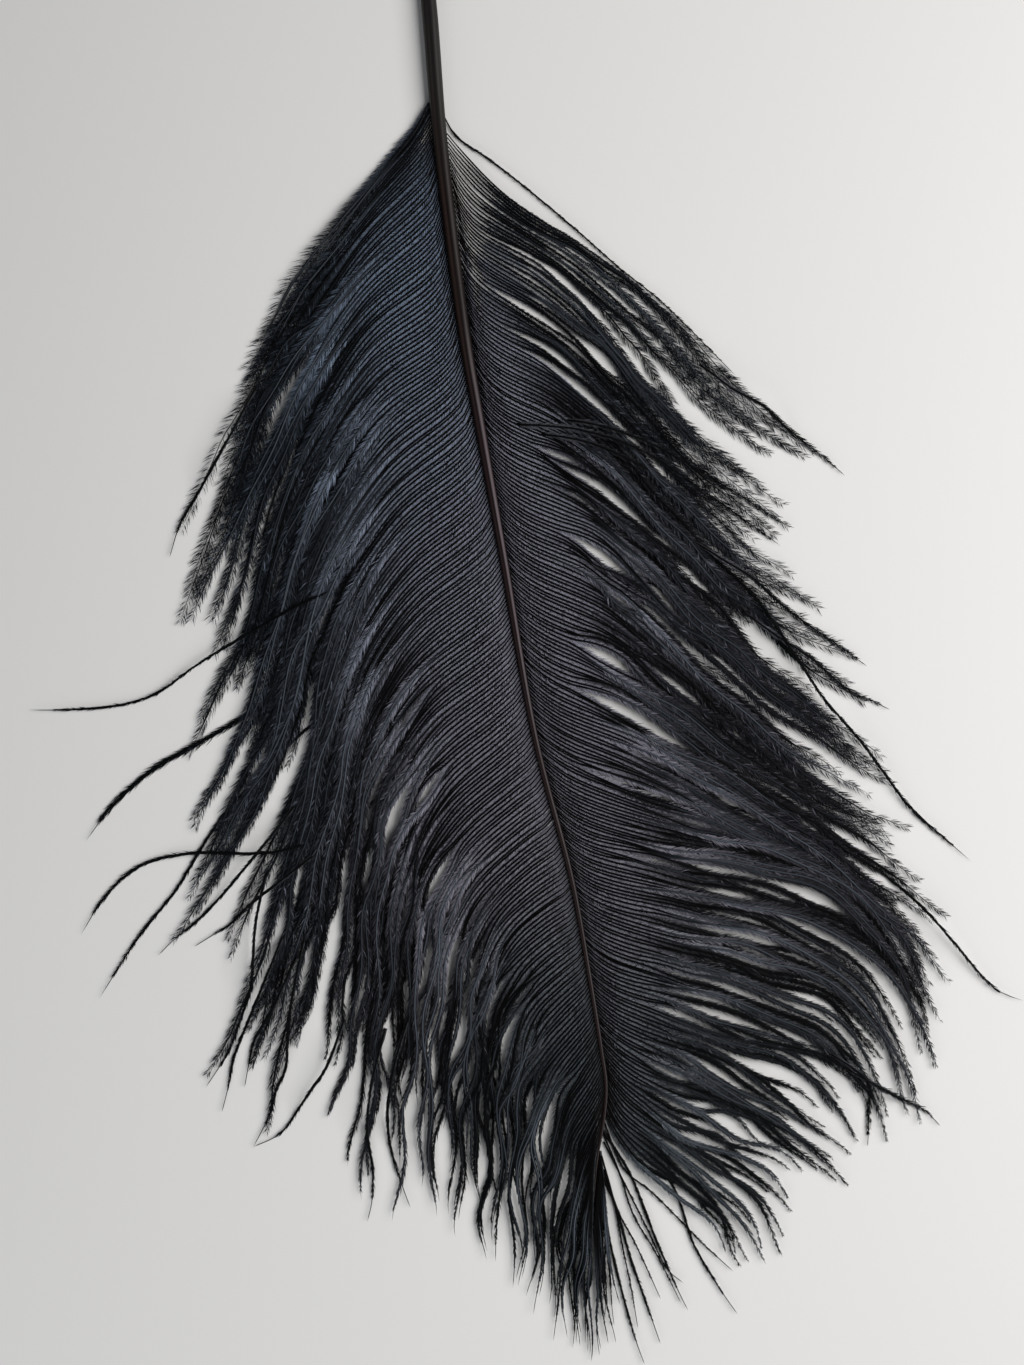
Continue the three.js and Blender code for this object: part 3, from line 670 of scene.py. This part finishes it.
def layBarbs(vane):
    # A vane's barbs: their lines, how high each lies among the others, and their styles
    flow = flowOf(vane)
    first, share = rootsOf(vane)
    count = len(share)
    style = styleAt(vane["profile"], yAt(share))
    style["bareRoot"] = style["bareRoot"] * draw.uniform(0.7, 1.3, count)
    lockShare, lockOff, lockReach = locksOf(vane, flow)
    lockCount = len(lockShare)
    away = np.abs(share[:, None] - lockShare)
    away = away + np.abs(draw.normal(0, barb["lockJitter"], (count, lockCount)))
    lock = away.argmin(1)
    home = lockShare[lock]
    out = np.linspace(0, 1, barb["steps"])
    course = courseOf(share, first, home, lock, lockCount, style, out)
    spread = np.abs(share - home) / barb["lockHalf"]
    shorter = barb["sideShorter"] * np.minimum(spread, 1.5) + style["ragged"] * draw.random(count) ** 1.3
    reach = lockReach[lock] * (1 - shorter * smooth(0, 0.3, spread))
    paths = flowAt(vane, flow, course, out * reach[:, None])
    paths = paths + lockOff[lock][:, None] * (smooth(0.1, 1.15, out) ** 1.5)[:, None]
    paths, length = curled(paths, lock, lockCount, style, out)
    _, along, _, radius = onShaft(share)
    grown = style["departure"] * smooth(first - 0.002, first + 0.05, share)
    grown = grown[:, None] * np.exp(-out * length / barb["departureReach"])
    paths = paths - along[:, None] * grown[..., None]
    crosses = draw.random(count) < barb["crossing"]
    paths = np.where(crosses[:, None, None], paths, openGaps(vane, paths))
    lockHigh, ownHigh = draw.random(lockCount)[lock][:, None], draw.random(count)[:, None]
    height = heightsOf(radius, lockHigh, ownHigh, style, out)
    lines = np.concatenate([paths, height[..., None]], -1)
    ofLock, ofOwn = barb["topShares"]
    return {"lines": lines, "rank": (ofLock * lockHigh + ofOwn * ownHigh)[:, 0], **style}


def layStrays(routes, style, spans):
    # Single barbs, each with the shares of its length at which it comes out on top of the vane and
    # lies down beside it
    lines = []
    out = np.linspace(0, 1, barb["steps"])
    for route, (rises, falls) in zip(routes, spans):
        flat = curveThrough(route, barb["steps"])
        risen = smooth(rises - 0.06, rises + 0.06, out)
        fallen = smooth(falls - 0.2, falls + 0.1, out)
        height = barb["outerHeight"] + barb["strayHeight"] * risen * (1 - fallen)
        lines.append(np.concatenate([flat, height[:, None]], -1))
    count = len(routes)
    return {"lines": np.array(lines), "rank": draw.random(count) * 0.5,
            **{key: np.full(count, float(value)) for key, value in style.items()}}


def framesOf(lines):
    # Level directions across each line, and those up from it
    along = unit(np.gradient(lines, axis=1))
    across = unit(np.cross(along, [0.0, 0, 1]))
    return across, np.cross(across, along)


def repeated(faces, count, size):
    # The same faces for count parts of size points each
    return (faces[None] + (np.arange(count) * size)[:, None, None]).reshape(-1, 3)


def ramiOf(barbs):
    # Three-sided tubes along the barbs, one edge up, that thin out to a point. On the map the first
    # number says how high a barb lies, a little more at each further corner so that one side takes more
    # of the stems' painted highlight, the second how far out
    lines = barbs["lines"]
    count, steps = lines.shape[:2]
    out = np.linspace(0, 1, steps)
    across, up = framesOf(lines)
    swell = barb["rootWidth"] + (barb["innerWidth"] - barb["rootWidth"]) * smooth(0, 0.09, out)
    thick = (swell + (barb["tipWidth"] - barb["innerWidth"]) * out ** 1.4) * barbs["stem"][:, None]
    turn = np.radians([90, 210, 330])
    ring = (across[:, :, None] * np.cos(turn)[:, None] + up[:, :, None] * np.sin(turn)[:, None])
    ring = lines[:, :-1, None] + ring[:, :-1] * thick[:, :-1, None, None]
    spots = np.concatenate([ring.reshape(count, -1, 3), lines[:, -1:]], 1)
    perBarb = spots.shape[1]
    level = np.arange(steps - 2)[:, None] * 3
    here, beside = level + np.arange(3), level + (np.arange(3) + 1) % 3
    sides = np.concatenate([np.stack([here, beside, beside + 3], -1).reshape(-1, 3),
                            np.stack([here, beside + 3, here + 3], -1).reshape(-1, 3)])
    tip = np.array([(0, 1, 3), (1, 2, 3), (2, 0, 3)]) + (steps - 2) * 3
    faces = np.concatenate([sides, tip, [(0, 2, 1)]])
    corner = np.append(np.tile([0.0, 0.33, 0.66], steps - 1), 0.5)
    far = np.append(np.repeat(out[:-1], 3), 1.0)
    tone = np.stack([np.broadcast_to(0.02 + 0.2 * corner + 0.7 * barbs["rank"][:, None], (count, perBarb)),
                     np.broadcast_to(0.02 + 0.96 * far, (count, perBarb))], -1)
    return spots.reshape(-1, 3), repeated(faces, count, perBarb), tone.reshape(-1, 2)


def downLength(barbs, owner, at, total):
    # Mean length of the barbules at a distance from the root: the style's length, changed inside the
    # vane, shorter where they begin and towards the tip
    inner, outer = barbs["inner"][owner], barbs["outer"][owner]
    long = barbs["length"][owner] * (inner + (1 - inner) * smooth(0.4, 0.75, at / total))
    long = long * (0.35 + 0.65 * smooth(*down["fullFrom"], at - barbs["bareRoot"][owner]))
    return long * (outer + (1 - outer) * smooth(0, down["tipReach"], total - at))


def thinnedOut(barbs, owner, at, total):
    # Share of the barbules that are missing: none inside, the style's share far out and at the tip
    begins = barbs["thinFrom"][owner]
    farOut = smooth(begins, begins + 0.3, at / total)
    return barbs["thin"][owner] * np.maximum(farOut, smooth(down["tipReach"], 5, total - at))


def downAngle(barbs, owner, out):
    # Angle between barbules and barb in degrees: the inner one, changing to the outer one half way
    inner = barbs["innerAngle"][owner]
    return inner + (barbs["angle"][owner] - inner) * smooth(0.3, 0.7, out)


def hueAt(hue):
    # Place on the map across, kept off its edges
    return hue * 0.94 + 0.03


def matsOf(barbs):
    # The down that lies pressed under each stem: a strip like a low roof, whose half width is a share
    # of the barbules' sideways reach, uneven along its edges
    lines = barbs["lines"][:, ::2]
    count, steps = lines.shape[:2]
    across = framesOf(lines)[0]
    at = lengthsAlong(lines)
    total = at[:, -1:]
    owner = np.arange(count)[:, None]
    mat, toBareTip = barbs["mat"][owner], total - barbs["bareTip"][owner] - at
    wide = downLength(barbs, owner, at, total) * np.sin(np.radians(downAngle(barbs, owner, at / total)))
    wide = wide * smooth(-0.5, 1.5, at - barbs["bareRoot"][owner])
    wide = wide * smooth(0, 2, toBareTip) * down["matWidth"] * mat
    wide = wide + down["matBase"] * mat * smooth(0, 4, toBareTip)
    wide = wide * (1 - np.minimum(1.7 * thinnedOut(barbs, owner, at, total), 1))
    wide = wide + down["matRootWidth"] * mat * smooth(6, 2, at)
    uneven = 1 + smooth(4, 8, at)[..., None] * draw.uniform(-0.3, 0.3, (count, steps, 2))
    wide = np.maximum(wide[..., None] * uneven, 0.01)
    edge = down["matGap"] + down["matDrop"] * np.minimum(wide / 0.5, 1)
    drop = np.array([0.0, 0, 1])
    left = lines - across * wide[..., :1] - drop * edge[..., :1]
    right = lines + across * wide[..., 1:] - drop * edge[..., 1:]
    spots = np.stack([left, lines - drop * down["matGap"], right], 2)
    spots[..., 2] = np.maximum(spots[..., 2], down["matLeastHeight"])
    cell = (np.arange(steps - 1)[:, None] * 3 + np.arange(2)).reshape(-1, 1)
    faces = np.concatenate([cell + np.array([0, 1, 4]), cell + np.array([0, 4, 3])])
    u = np.clip(hueAt(barbs["hue"][:, None, None]) + np.array([-0.01, 0, 0.01]), 0.005, 0.995)
    # Beside the shaft the strip is painted in the grey of the floor in shade between the stems
    paintedFloorShade = down["matRootFloorShade"] * barbs["light"][:, None] * smooth(8, 3, at)
    fleck = down["matLight"] * (0.8 + 0.4 * draw.random((count, steps, 3)))
    v = np.clip(paintedFloorShade[..., None] + fleck, 0.01, 0.99)
    tone = np.stack([np.broadcast_to(u, (count, steps, 3)), v], -1)
    return spots.reshape(-1, 3), repeated(faces, count, steps * 3), tone.reshape(-1, 2)


def barbuleRoots(barbs, spacing, total):
    # For each barbule its barb, its side as -1 or 1, its distance from the barb's root, and the
    # share of its neighbours that are missing
    bareRoot = np.maximum(barbs["bareRoot"], down["start"])
    number = np.maximum(((total - bareRoot - barbs["bareTip"]) / spacing).astype(int), 1)
    owner = np.repeat(np.arange(len(total)), number)
    rank = np.arange(len(owner)) - np.repeat(np.cumsum(number) - number, number)
    owner, rank = np.tile(owner, 2), np.tile(rank, 2)
    hand = np.repeat([-1.0, 1.0], len(owner) // 2)
    at = bareRoot[owner] + (rank + 0.5 + draw.normal(0, down["jitter"], len(owner))) * spacing
    thin = thinnedOut(barbs, owner, at, total[owner])
    kept = draw.random(len(owner)) > thin
    return owner[kept], hand[kept], at[kept], thin[kept]


def barbuleTones(barbs, owner, out, tufted):
    # Up the map: lighter down inside the vane, partly painted sheen; painted light on the barbs that lie
    # on top and painted shade on those beneath; darker by the style's painted shade far out; and a few
    # painted glints that catch the light, more of them in every second tuft
    paintedTopLight = down["nearBlack"] + (1 - down["nearBlack"]) * barbs["rank"][owner] ** 3 * barbs["crown"][owner]
    fromOut = barbs["shadeFrom"][owner]
    paintedLightAndShade = 1 + (paintedTopLight - 1) * smooth(fromOut - 0.15, fromOut + 0.15, out)
    paintedLightAndShade = paintedLightAndShade * (1 - barbs["shade"][owner] * smooth(fromOut, fromOut + 0.33, out))
    own = barbs["light"][owner] * paintedLightAndShade * (0.75 + 0.25 * smooth(0.0, 0.1, out))
    own = own * (1 + draw.normal(0, down["patchy"], len(owner)))
    glint = draw.random(len(owner)) ** down["glintRarity"] * np.where(tufted > 0, 1, 0.5)
    own = own + down["glint"] * barbs["light"][owner] * glint * smooth(0.1, 0.4, out)
    v = np.clip(own[:, None] + np.array(down["bladeTone"]), 0.01, 0.99)
    hue = hueAt(barbs["hue"][owner][:, None]) + draw.normal(0, down["hueJitter"], len(owner))[:, None]
    u = np.clip(hue + np.array([0, 0.004, -0.004, 0.002]), 0.005, 0.995)
    return np.stack([u, v], -1).reshape(-1, 2)


def barbulesOf(barbs, spacing):
    # Bent blades on both sides of every barb, pointed at both ends: each leaves it at the style's
    # angle, hangs a little and turns back towards the barb's direction, in two straight parts
    lines = barbs["lines"]
    count, steps = lines.shape[:2]
    along = unit(np.gradient(lines, axis=1))
    total = lengthsAlong(lines)[:, -1]
    owner, hand, at, thin = barbuleRoots(barbs, spacing, total)
    out = np.clip(at / total[owner], 0, 0.9999)
    step = out * (steps - 1)
    low = step.astype(int)
    part = (step - low)[:, None]
    base = lines[owner, low] * (1 - part) + lines[owner, low + 1] * part
    base[:, 2] -= down["rootDrop"]
    ahead = unit(along[owner, low] * (1 - part) + along[owner, low + 1] * part)
    sideways = unit(np.cross(ahead, [0.0, 0, 1])) * hand[:, None]
    tuftWay = draw.uniform(0, 6.3, (4, count))[:, owner]
    tufted = np.sin(at * 1.9 + tuftWay[0]) * np.sin(at * 0.73 + tuftWay[1])
    long = downLength(barbs, owner, at, total[owner])
    long = long * (0.75 + 0.5 * draw.random(len(owner))) * (1 + 0.12 * tufted * smooth(0.2, 0.5, out))
    ruffle = np.sin(at * 2.7 + tuftWay[2]) * np.sin(at * 1.1 + tuftWay[3]) * smooth(0.25, 0.6, out)
    lean = downAngle(barbs, owner, out) * (1 + 0.2 * ruffle)
    lean = np.radians(lean + draw.normal(0, down["leanJitter"], len(owner)))
    droop = down["innerDroop"] + (down["outerDroop"] - down["innerDroop"]) * smooth(0.3, 0.6, out)
    fall = -droop * (0.6 + 0.8 * draw.random(len(owner)))
    up = np.array([0.0, 0, 1])

    def heading(turnBack):
        flat = ahead * np.cos(lean * turnBack)[:, None] + sideways * np.sin(lean * turnBack)[:, None]
        return unit(flat + up * fall[:, None])

    (nearPart, nearTurn), (farPart, farTurn) = down["bend"]
    mid = base + heading(nearTurn) * (long * nearPart)[:, None]
    tip = mid + heading(farTurn) * (long * farPart)[:, None]
    roll = draw.normal(0, 0.5, len(owner))
    face = unit(np.cross(heading(1.0), up)) * np.cos(roll)[:, None] + up * np.sin(roll)[:, None]
    wide = face * (down["halfWidth"] * (1 - 0.2 * thin) * (0.8 + 0.4 * draw.random(len(owner))))[:, None]
    blade = np.stack([base, mid - wide, mid + wide, tip], 1)
    blade[..., 2] = np.maximum(blade[..., 2], down["leastHeight"])
    faces = repeated(np.array([(0, 2, 1), (1, 2, 3)]), len(owner), 4)
    return blade.reshape(-1, 3), faces, barbuleTones(barbs, owner, out, tufted)


def barbPiece(name, groups, materials, spacing):
    # One mesh of the stems, pressed down and barbules of one or more groups of barbs
    spots, faces, tone, kind = [], [], [], []
    start = 0
    for barbs in groups:
        for number, part in ((0, ramiOf(barbs)), (1, matsOf(barbs)), (1, barbulesOf(barbs, spacing))):
            spots.append(part[0])
            faces.append(part[1] + start)
            tone.append(part[2])
            kind.append(np.full(len(part[1]), number))
            start += len(part[0])
    piece = makeMesh(name, *(np.concatenate(parts) for parts in (spots, faces, tone)), materials,
                     np.concatenate(kind))
    print(name, len(piece.data.polygons), "triangles")
    return piece


def someOf(barbs, first, last):
    # The barbs from one rank up to another
    return {key: value[first:last] for key, value in barbs.items()}


def newMaterial(name):
    # An empty material with one shader
    material = bpy.data.materials.new(name)
    material.use_nodes = True
    nodes, links = material.node_tree.nodes, material.node_tree.links
    nodes.clear()
    output = nodes.new("ShaderNodeOutputMaterial")
    shader = nodes.new("ShaderNodeBsdfPrincipled")
    links.new(shader.outputs["BSDF"], output.inputs["Surface"])
    return material, nodes, links, shader


def matt(shader, roughness, gloss):
    # The shader's even values
    shader.inputs["Roughness"].default_value = roughness
    shader.inputs["Specular IOR Level"].default_value = gloss


def toneMap(nodes, links):
    # The piece's own map, and its first and second number
    uv = nodes.new("ShaderNodeUVMap")
    uv.uv_map = "toneMap"
    split = nodes.new("ShaderNodeSeparateXYZ")
    links.new(uv.outputs["UV"], split.inputs[0])
    return uv.outputs["UV"], split.outputs["X"], split.outputs["Y"]


def rampOf(nodes, links, source, stops):
    # Colours at their places along the source, straight lines between; a plain number is a grey
    ramp = nodes.new("ShaderNodeValToRGB")
    places = ramp.color_ramp.elements
    places.remove(places[1])
    for number, (place, colour) in enumerate(stops):
        element = places[0] if number == 0 else places.new(place)
        element.position = place
        element.color = (*(colour if isinstance(colour, tuple) else (colour,) * 3), 1)
    links.new(source, ramp.inputs["Fac"])
    return ramp.outputs["Color"]


def mathOf(nodes, links, operation, first, second):
    # Two numbers put together; the second may be a plain one
    node = nodes.new("ShaderNodeMath")
    node.operation = operation
    links.new(first, node.inputs[0])
    if isinstance(second, float):
        node.inputs[1].default_value = second
    else:
        links.new(second, node.inputs[1])
    return node.outputs[0]


def blendOf(nodes, links, first, how="MIX"):
    # A blend of colours that begins with the first
    blend = nodes.new("ShaderNodeMix")
    blend.data_type = "RGBA"
    blend.blend_type = how
    links.new(first, blend.inputs["A"])
    return blend


downTones = {
    "contrast": 1.4,
    "dark": [(0, (0.003, 0.004, 0.0055)), (0.5, (0.0035, 0.0035, 0.0045)), (1, (0.0025, 0.0035, 0.004))],
    # the light shades: the down's own grey with painted sheen in its blue and mauve
    "light": [(0, (0.190, 0.245, 0.335)), (0.3, (0.215, 0.230, 0.288)), (0.6, (0.228, 0.218, 0.262)),
              (1, (0.170, 0.202, 0.228))],
    "looseStrength": 0.6,  # how light the down on loose barbs is beside the vanes'
    "roughness": 0.55,
    "gloss": 0.05,
}


def makeToneGroup():
    # Colour of dyed down: the map's first number picks the hue along the feather, its second mixes
    # from the dark to the light shade of that hue, which is partly painted sheen
    group = bpy.data.node_groups.new("dyedTone", "ShaderNodeTree")
    group.interface.new_socket("Map", in_out="INPUT", socket_type="NodeSocketVector")
    strength = group.interface.new_socket("Strength", in_out="INPUT", socket_type="NodeSocketFloat")
    strength.default_value = 1
    group.interface.new_socket("Colour", in_out="OUTPUT", socket_type="NodeSocketColor")
    nodes, links = group.nodes, group.links
    entry, leave = nodes.new("NodeGroupInput"), nodes.new("NodeGroupOutput")
    split = nodes.new("ShaderNodeSeparateXYZ")
    links.new(entry.outputs["Map"], split.inputs[0])
    lightness = mathOf(nodes, links, "POWER", split.outputs["Y"], downTones["contrast"])
    amount = mathOf(nodes, links, "MULTIPLY", lightness, entry.outputs["Strength"])
    blend = blendOf(nodes, links, rampOf(nodes, links, split.outputs["X"], downTones["dark"]))
    links.new(amount, blend.inputs["Factor"])
    links.new(rampOf(nodes, links, split.outputs["X"], downTones["light"]), blend.inputs["B"])
    links.new(blend.outputs["Result"], leave.inputs["Colour"])
    return group


def downFinish(group, strength, name):
    # Matt down in the group's colours
    material, nodes, links, shader = newMaterial(name)
    tone = nodes.new("ShaderNodeGroup")
    tone.node_tree = group
    tone.inputs["Strength"].default_value = strength
    links.new(toneMap(nodes, links)[0], tone.inputs["Map"])
    links.new(tone.outputs["Colour"], shader.inputs["Base Color"])
    matt(shader, downTones["roughness"], downTones["gloss"])
    return material


stemTones = {
    "along": [(0, (0.006, 0.004, 0.0035)), (0.15, (0.003, 0.003, 0.0035)), (1, (0.003, 0.0035, 0.004))],
    "lit": (0.10, 0.118, 0.145, 1),
    "high": [(0.42, 0), (0.7, 1)],  # how much of that a stem gets by how high it lies
    "farOut": [(0.22, 0), (0.42, 1), (0.75, 0.8), (1, 0.1)],  # and by how far out
    "roughness": 0.5,
    "gloss": 0.04,
}


def ramusFinish():
    # The barbs' own stems: near black, a little browner at the root. Far out those that lie on top
    # catch the light: the map's first number says how high one lies, its second how far out
    material, nodes, links, shader = newMaterial("barbStem")
    _, height, out = toneMap(nodes, links)
    high = rampOf(nodes, links, height, stemTones["high"])
    farOut = rampOf(nodes, links, out, stemTones["farOut"])
    blend = blendOf(nodes, links, rampOf(nodes, links, out, stemTones["along"]))
    links.new(mathOf(nodes, links, "MULTIPLY", high, farOut), blend.inputs["Factor"])
    blend.inputs["B"].default_value = stemTones["lit"]
    links.new(blend.outputs["Result"], shader.inputs["Base Color"])
    matt(shader, stemTones["roughness"], stemTones["gloss"])
    return material


hornTones = {
    "stout": [  # colours round the shaft from its right side over the top, near the quill; its paler ridge is partly painted highlight and the dark line beside the groove painted shade
        (0.0, (0.006, 0.005, 0.005)), (0.08, (0.012, 0.009, 0.009)), (0.15, (0.018, 0.0125, 0.012)),
        (0.215, (0.020, 0.0135, 0.0125)), (0.262, (0.012, 0.007, 0.0065)), (0.33, (0.028, 0.015, 0.0125)),
        (0.42, (0.014, 0.008, 0.007)), (0.5, (0.004, 0.003, 0.003))],
    "slender": [  # and past the middle, where the ridge is mauve-grey, partly its own tone and partly painted highlight
        (0.0, (0.010, 0.006, 0.007)), (0.1, (0.020, 0.012, 0.013)), (0.15, (0.115, 0.088, 0.098)),
        (0.205, (0.150, 0.118, 0.132)), (0.245, (0.016, 0.008, 0.009)), (0.33, (0.020, 0.009, 0.011)),
        (0.42, (0.012, 0.006, 0.007)), (0.5, (0.004, 0.003, 0.003))],
    "toSlender": [(0, 0), (0.32, 0.05), (0.43, 0.9), (0.55, 0.8), (0.68, 0.35), (1, 0.2)],
    "quill": [(0, 0.016), (0.13, (0.020, 0.019, 0.018))],
    "fromQuill": [(0, 0), (0.14, 0.15), (0.24, 1)],
    "streaks": (14, 60, 1),  # how often they change along and round the shaft
    "streakDetail": 4,
    "streakShade": 0.5,
    "bumpStrength": 0.15,
    "bumpHeight": 0.0001,
    "roughness": 0.5,
    "gloss": 0.22,
}


def shaftFinish():
    # Dyed horn: plain at the quill, then dark red-brown left of the groove with a ridge that turns
    # mauve-grey further on, partly painted highlight, a dark line beside the groove in painted shade, and
    # fine streaks along it
    material, nodes, links, shader = newMaterial("shaftHorn")
    uv, along, around = toneMap(nodes, links)
    horn = blendOf(nodes, links, rampOf(nodes, links, around, hornTones["stout"]))
    links.new(rampOf(nodes, links, along, hornTones["toSlender"]), horn.inputs["Factor"])
    links.new(rampOf(nodes, links, around, hornTones["slender"]), horn.inputs["B"])
    whole = blendOf(nodes, links, rampOf(nodes, links, along, hornTones["quill"]))
    links.new(rampOf(nodes, links, along, hornTones["fromQuill"]), whole.inputs["Factor"])
    links.new(horn.outputs["Result"], whole.inputs["B"])
    stretch = nodes.new("ShaderNodeMapping")
    stretch.inputs["Scale"].default_value = hornTones["streaks"]
    links.new(uv, stretch.inputs["Vector"])
    streaks = nodes.new("ShaderNodeTexNoise")
    streaks.inputs["Scale"].default_value = 1
    streaks.inputs["Detail"].default_value = hornTones["streakDetail"]
    links.new(stretch.outputs["Vector"], streaks.inputs["Vector"])
    shade = blendOf(nodes, links, whole.outputs["Result"], "MULTIPLY")
    shade.inputs["Factor"].default_value = hornTones["streakShade"]
    links.new(streaks.outputs["Fac"], shade.inputs["B"])
    links.new(shade.outputs["Result"], shader.inputs["Base Color"])
    bump = nodes.new("ShaderNodeBump")
    bump.inputs["Strength"].default_value = hornTones["bumpStrength"]
    bump.inputs["Distance"].default_value = hornTones["bumpHeight"]
    links.new(streaks.outputs["Fac"], bump.inputs["Height"])
    links.new(bump.outputs["Normal"], shader.inputs["Normal"])
    matt(shader, hornTones["roughness"], hornTones["gloss"])
    return material


toneGroup = makeToneGroup()
barbFinishes = [ramusFinish(), downFinish(toneGroup, 1.0, "dyedDown")]
looseFinishes = [barbFinishes[0], downFinish(toneGroup, downTones["looseStrength"], "dyedDownLoose")]

shaftPiece = makeShaft([shaftFinish()])
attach(shaftPiece, "root")
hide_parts("shaft")
print("shaft done")

leftBarbs = layBarbs(leftVane)
rightBarbs = layBarbs(rightVane)
tuftBarbs = layBarbs(tuft)
leftMiddle, leftLower = leftVane["cuts"]
rightMiddle, rightLower = rightVane["cuts"]
vanePieces = {
    "left_barbs_upper": ("left_vane", [someOf(leftBarbs, 0, leftMiddle)]),
    "left_barbs_middle": ("left_vane", [someOf(leftBarbs, leftMiddle, leftLower)]),
    "left_barbs_lower": ("left_vane", [
        someOf(leftBarbs, leftLower, None), layStrays(leftStrays, ropeStyle, [overVane] * len(leftStrays))]),
    "right_barbs_upper": ("right_vane", [someOf(rightBarbs, 0, rightMiddle)]),
    "right_barbs_middle": ("right_vane", [someOf(rightBarbs, rightMiddle, rightLower)]),
    "right_barbs_lower": ("right_vane", [
        someOf(rightBarbs, rightLower, None), tuftBarbs,
        layStrays(rightStrays, strayStyle, crossVane + [overVane] * (len(rightStrays) - len(crossVane))),
        layStrays(bareStrays, bareStyle, [underVane] * len(bareStrays))]),
}
for name, (node, groups) in vanePieces.items():
    piece = barbPiece(name, groups, barbFinishes, down["spacing"])
    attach(piece, "root")
    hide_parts(node)

for node, (shares, fullness, route) in looseBarbs.items():
    style = {**ropeStyle, "length": ropeStyle["length"] * fullness}
    piece = barbPiece(node + "_with_down", [layStrays([route], style, [shares])], looseFinishes,
                      down["looseSpacing"])
    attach(piece, "root")
    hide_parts(node)
print("barbs done")


studio = {
    "floorSize": 1.6,
    "floorDrop": 0.0002,  # how far the floor lies under the lowest barbs
    "floorColour": (0.80, 0.795, 0.79, 1),
    "floorRoughness": 0.9,
    "floorGloss": 0.1,
    "frameHeight": 0.3003,  # what the camera sees from top to bottom
    "frameCentre": (-0.00319, -0.01397),
    "lens": 85,
    "filmHeight": 36,
    "aim": (0, -0.01, 0),
    "lights": {  # side, power, place and colour
        "windowLight": (0.6, 5.5, (0.45, 0.04, 0.5), (1, 0.985, 0.965)),
        "roomLight": (0.4, 1.3, (-0.3, -0.58, 0.3), (0.96, 0.985, 1)),
    },
    "roomColour": (0.9, 0.93, 1, 1),
    "roomStrength": 0.08,
}


def makeFloor():
    # A level square just under the feather
    half, low = studio["floorSize"] / 2, -studio["floorDrop"]
    mesh = bpy.data.meshes.new("floor")
    corners = [(-half, -half, low), (half, -half, low), (half, half, low), (-half, half, low)]
    mesh.from_pydata(corners, [], [(0, 1, 2, 3)])
    material, _, _, shader = newMaterial("paleFloor")
    shader.inputs["Base Color"].default_value = studio["floorColour"]
    matt(shader, studio["floorRoughness"], studio["floorGloss"])
    mesh.materials.append(material)
    floor = bpy.data.objects.new("floor", mesh)
    bpy.context.scene.collection.objects.link(floor)


def makeLight(name, size, power, place, colour):
    # A square lamp that faces the feather
    lamp = bpy.data.lights.new(name, "AREA")
    lamp.shape = "SQUARE"
    lamp.size = size
    lamp.energy = power
    lamp.color = colour
    light = bpy.data.objects.new(name, lamp)
    bpy.context.scene.collection.objects.link(light)
    light.location = place
    light.rotation_euler = (light.location - Vector(studio["aim"])).to_track_quat("Z", "Y").to_euler()


def makeRoom():
    # Even light from all around
    world = bpy.data.worlds.new("room")
    world.use_nodes = True
    background = world.node_tree.nodes["Background"]
    background.inputs["Color"].default_value = studio["roomColour"]
    background.inputs["Strength"].default_value = studio["roomStrength"]
    bpy.context.scene.world = world
    bpy.context.scene.view_settings.view_transform = "Standard"


def makeCamera():
    # Straight above, at the distance where the film's height covers the frame's
    distance = studio["lens"] * studio["frameHeight"] / studio["filmHeight"]
    view = bpy.data.cameras.new("camera")
    view.lens = studio["lens"]
    view.sensor_fit = "VERTICAL"
    view.sensor_height = studio["filmHeight"]
    camera = bpy.data.objects.new("camera", view)
    bpy.context.scene.collection.objects.link(camera)
    camera.location = (*studio["frameCentre"], distance)
    bpy.context.scene.camera = camera


makeFloor()
for name, values in studio["lights"].items():
    makeLight(name, *values)
makeRoom()
makeCamera()
print("studio done")
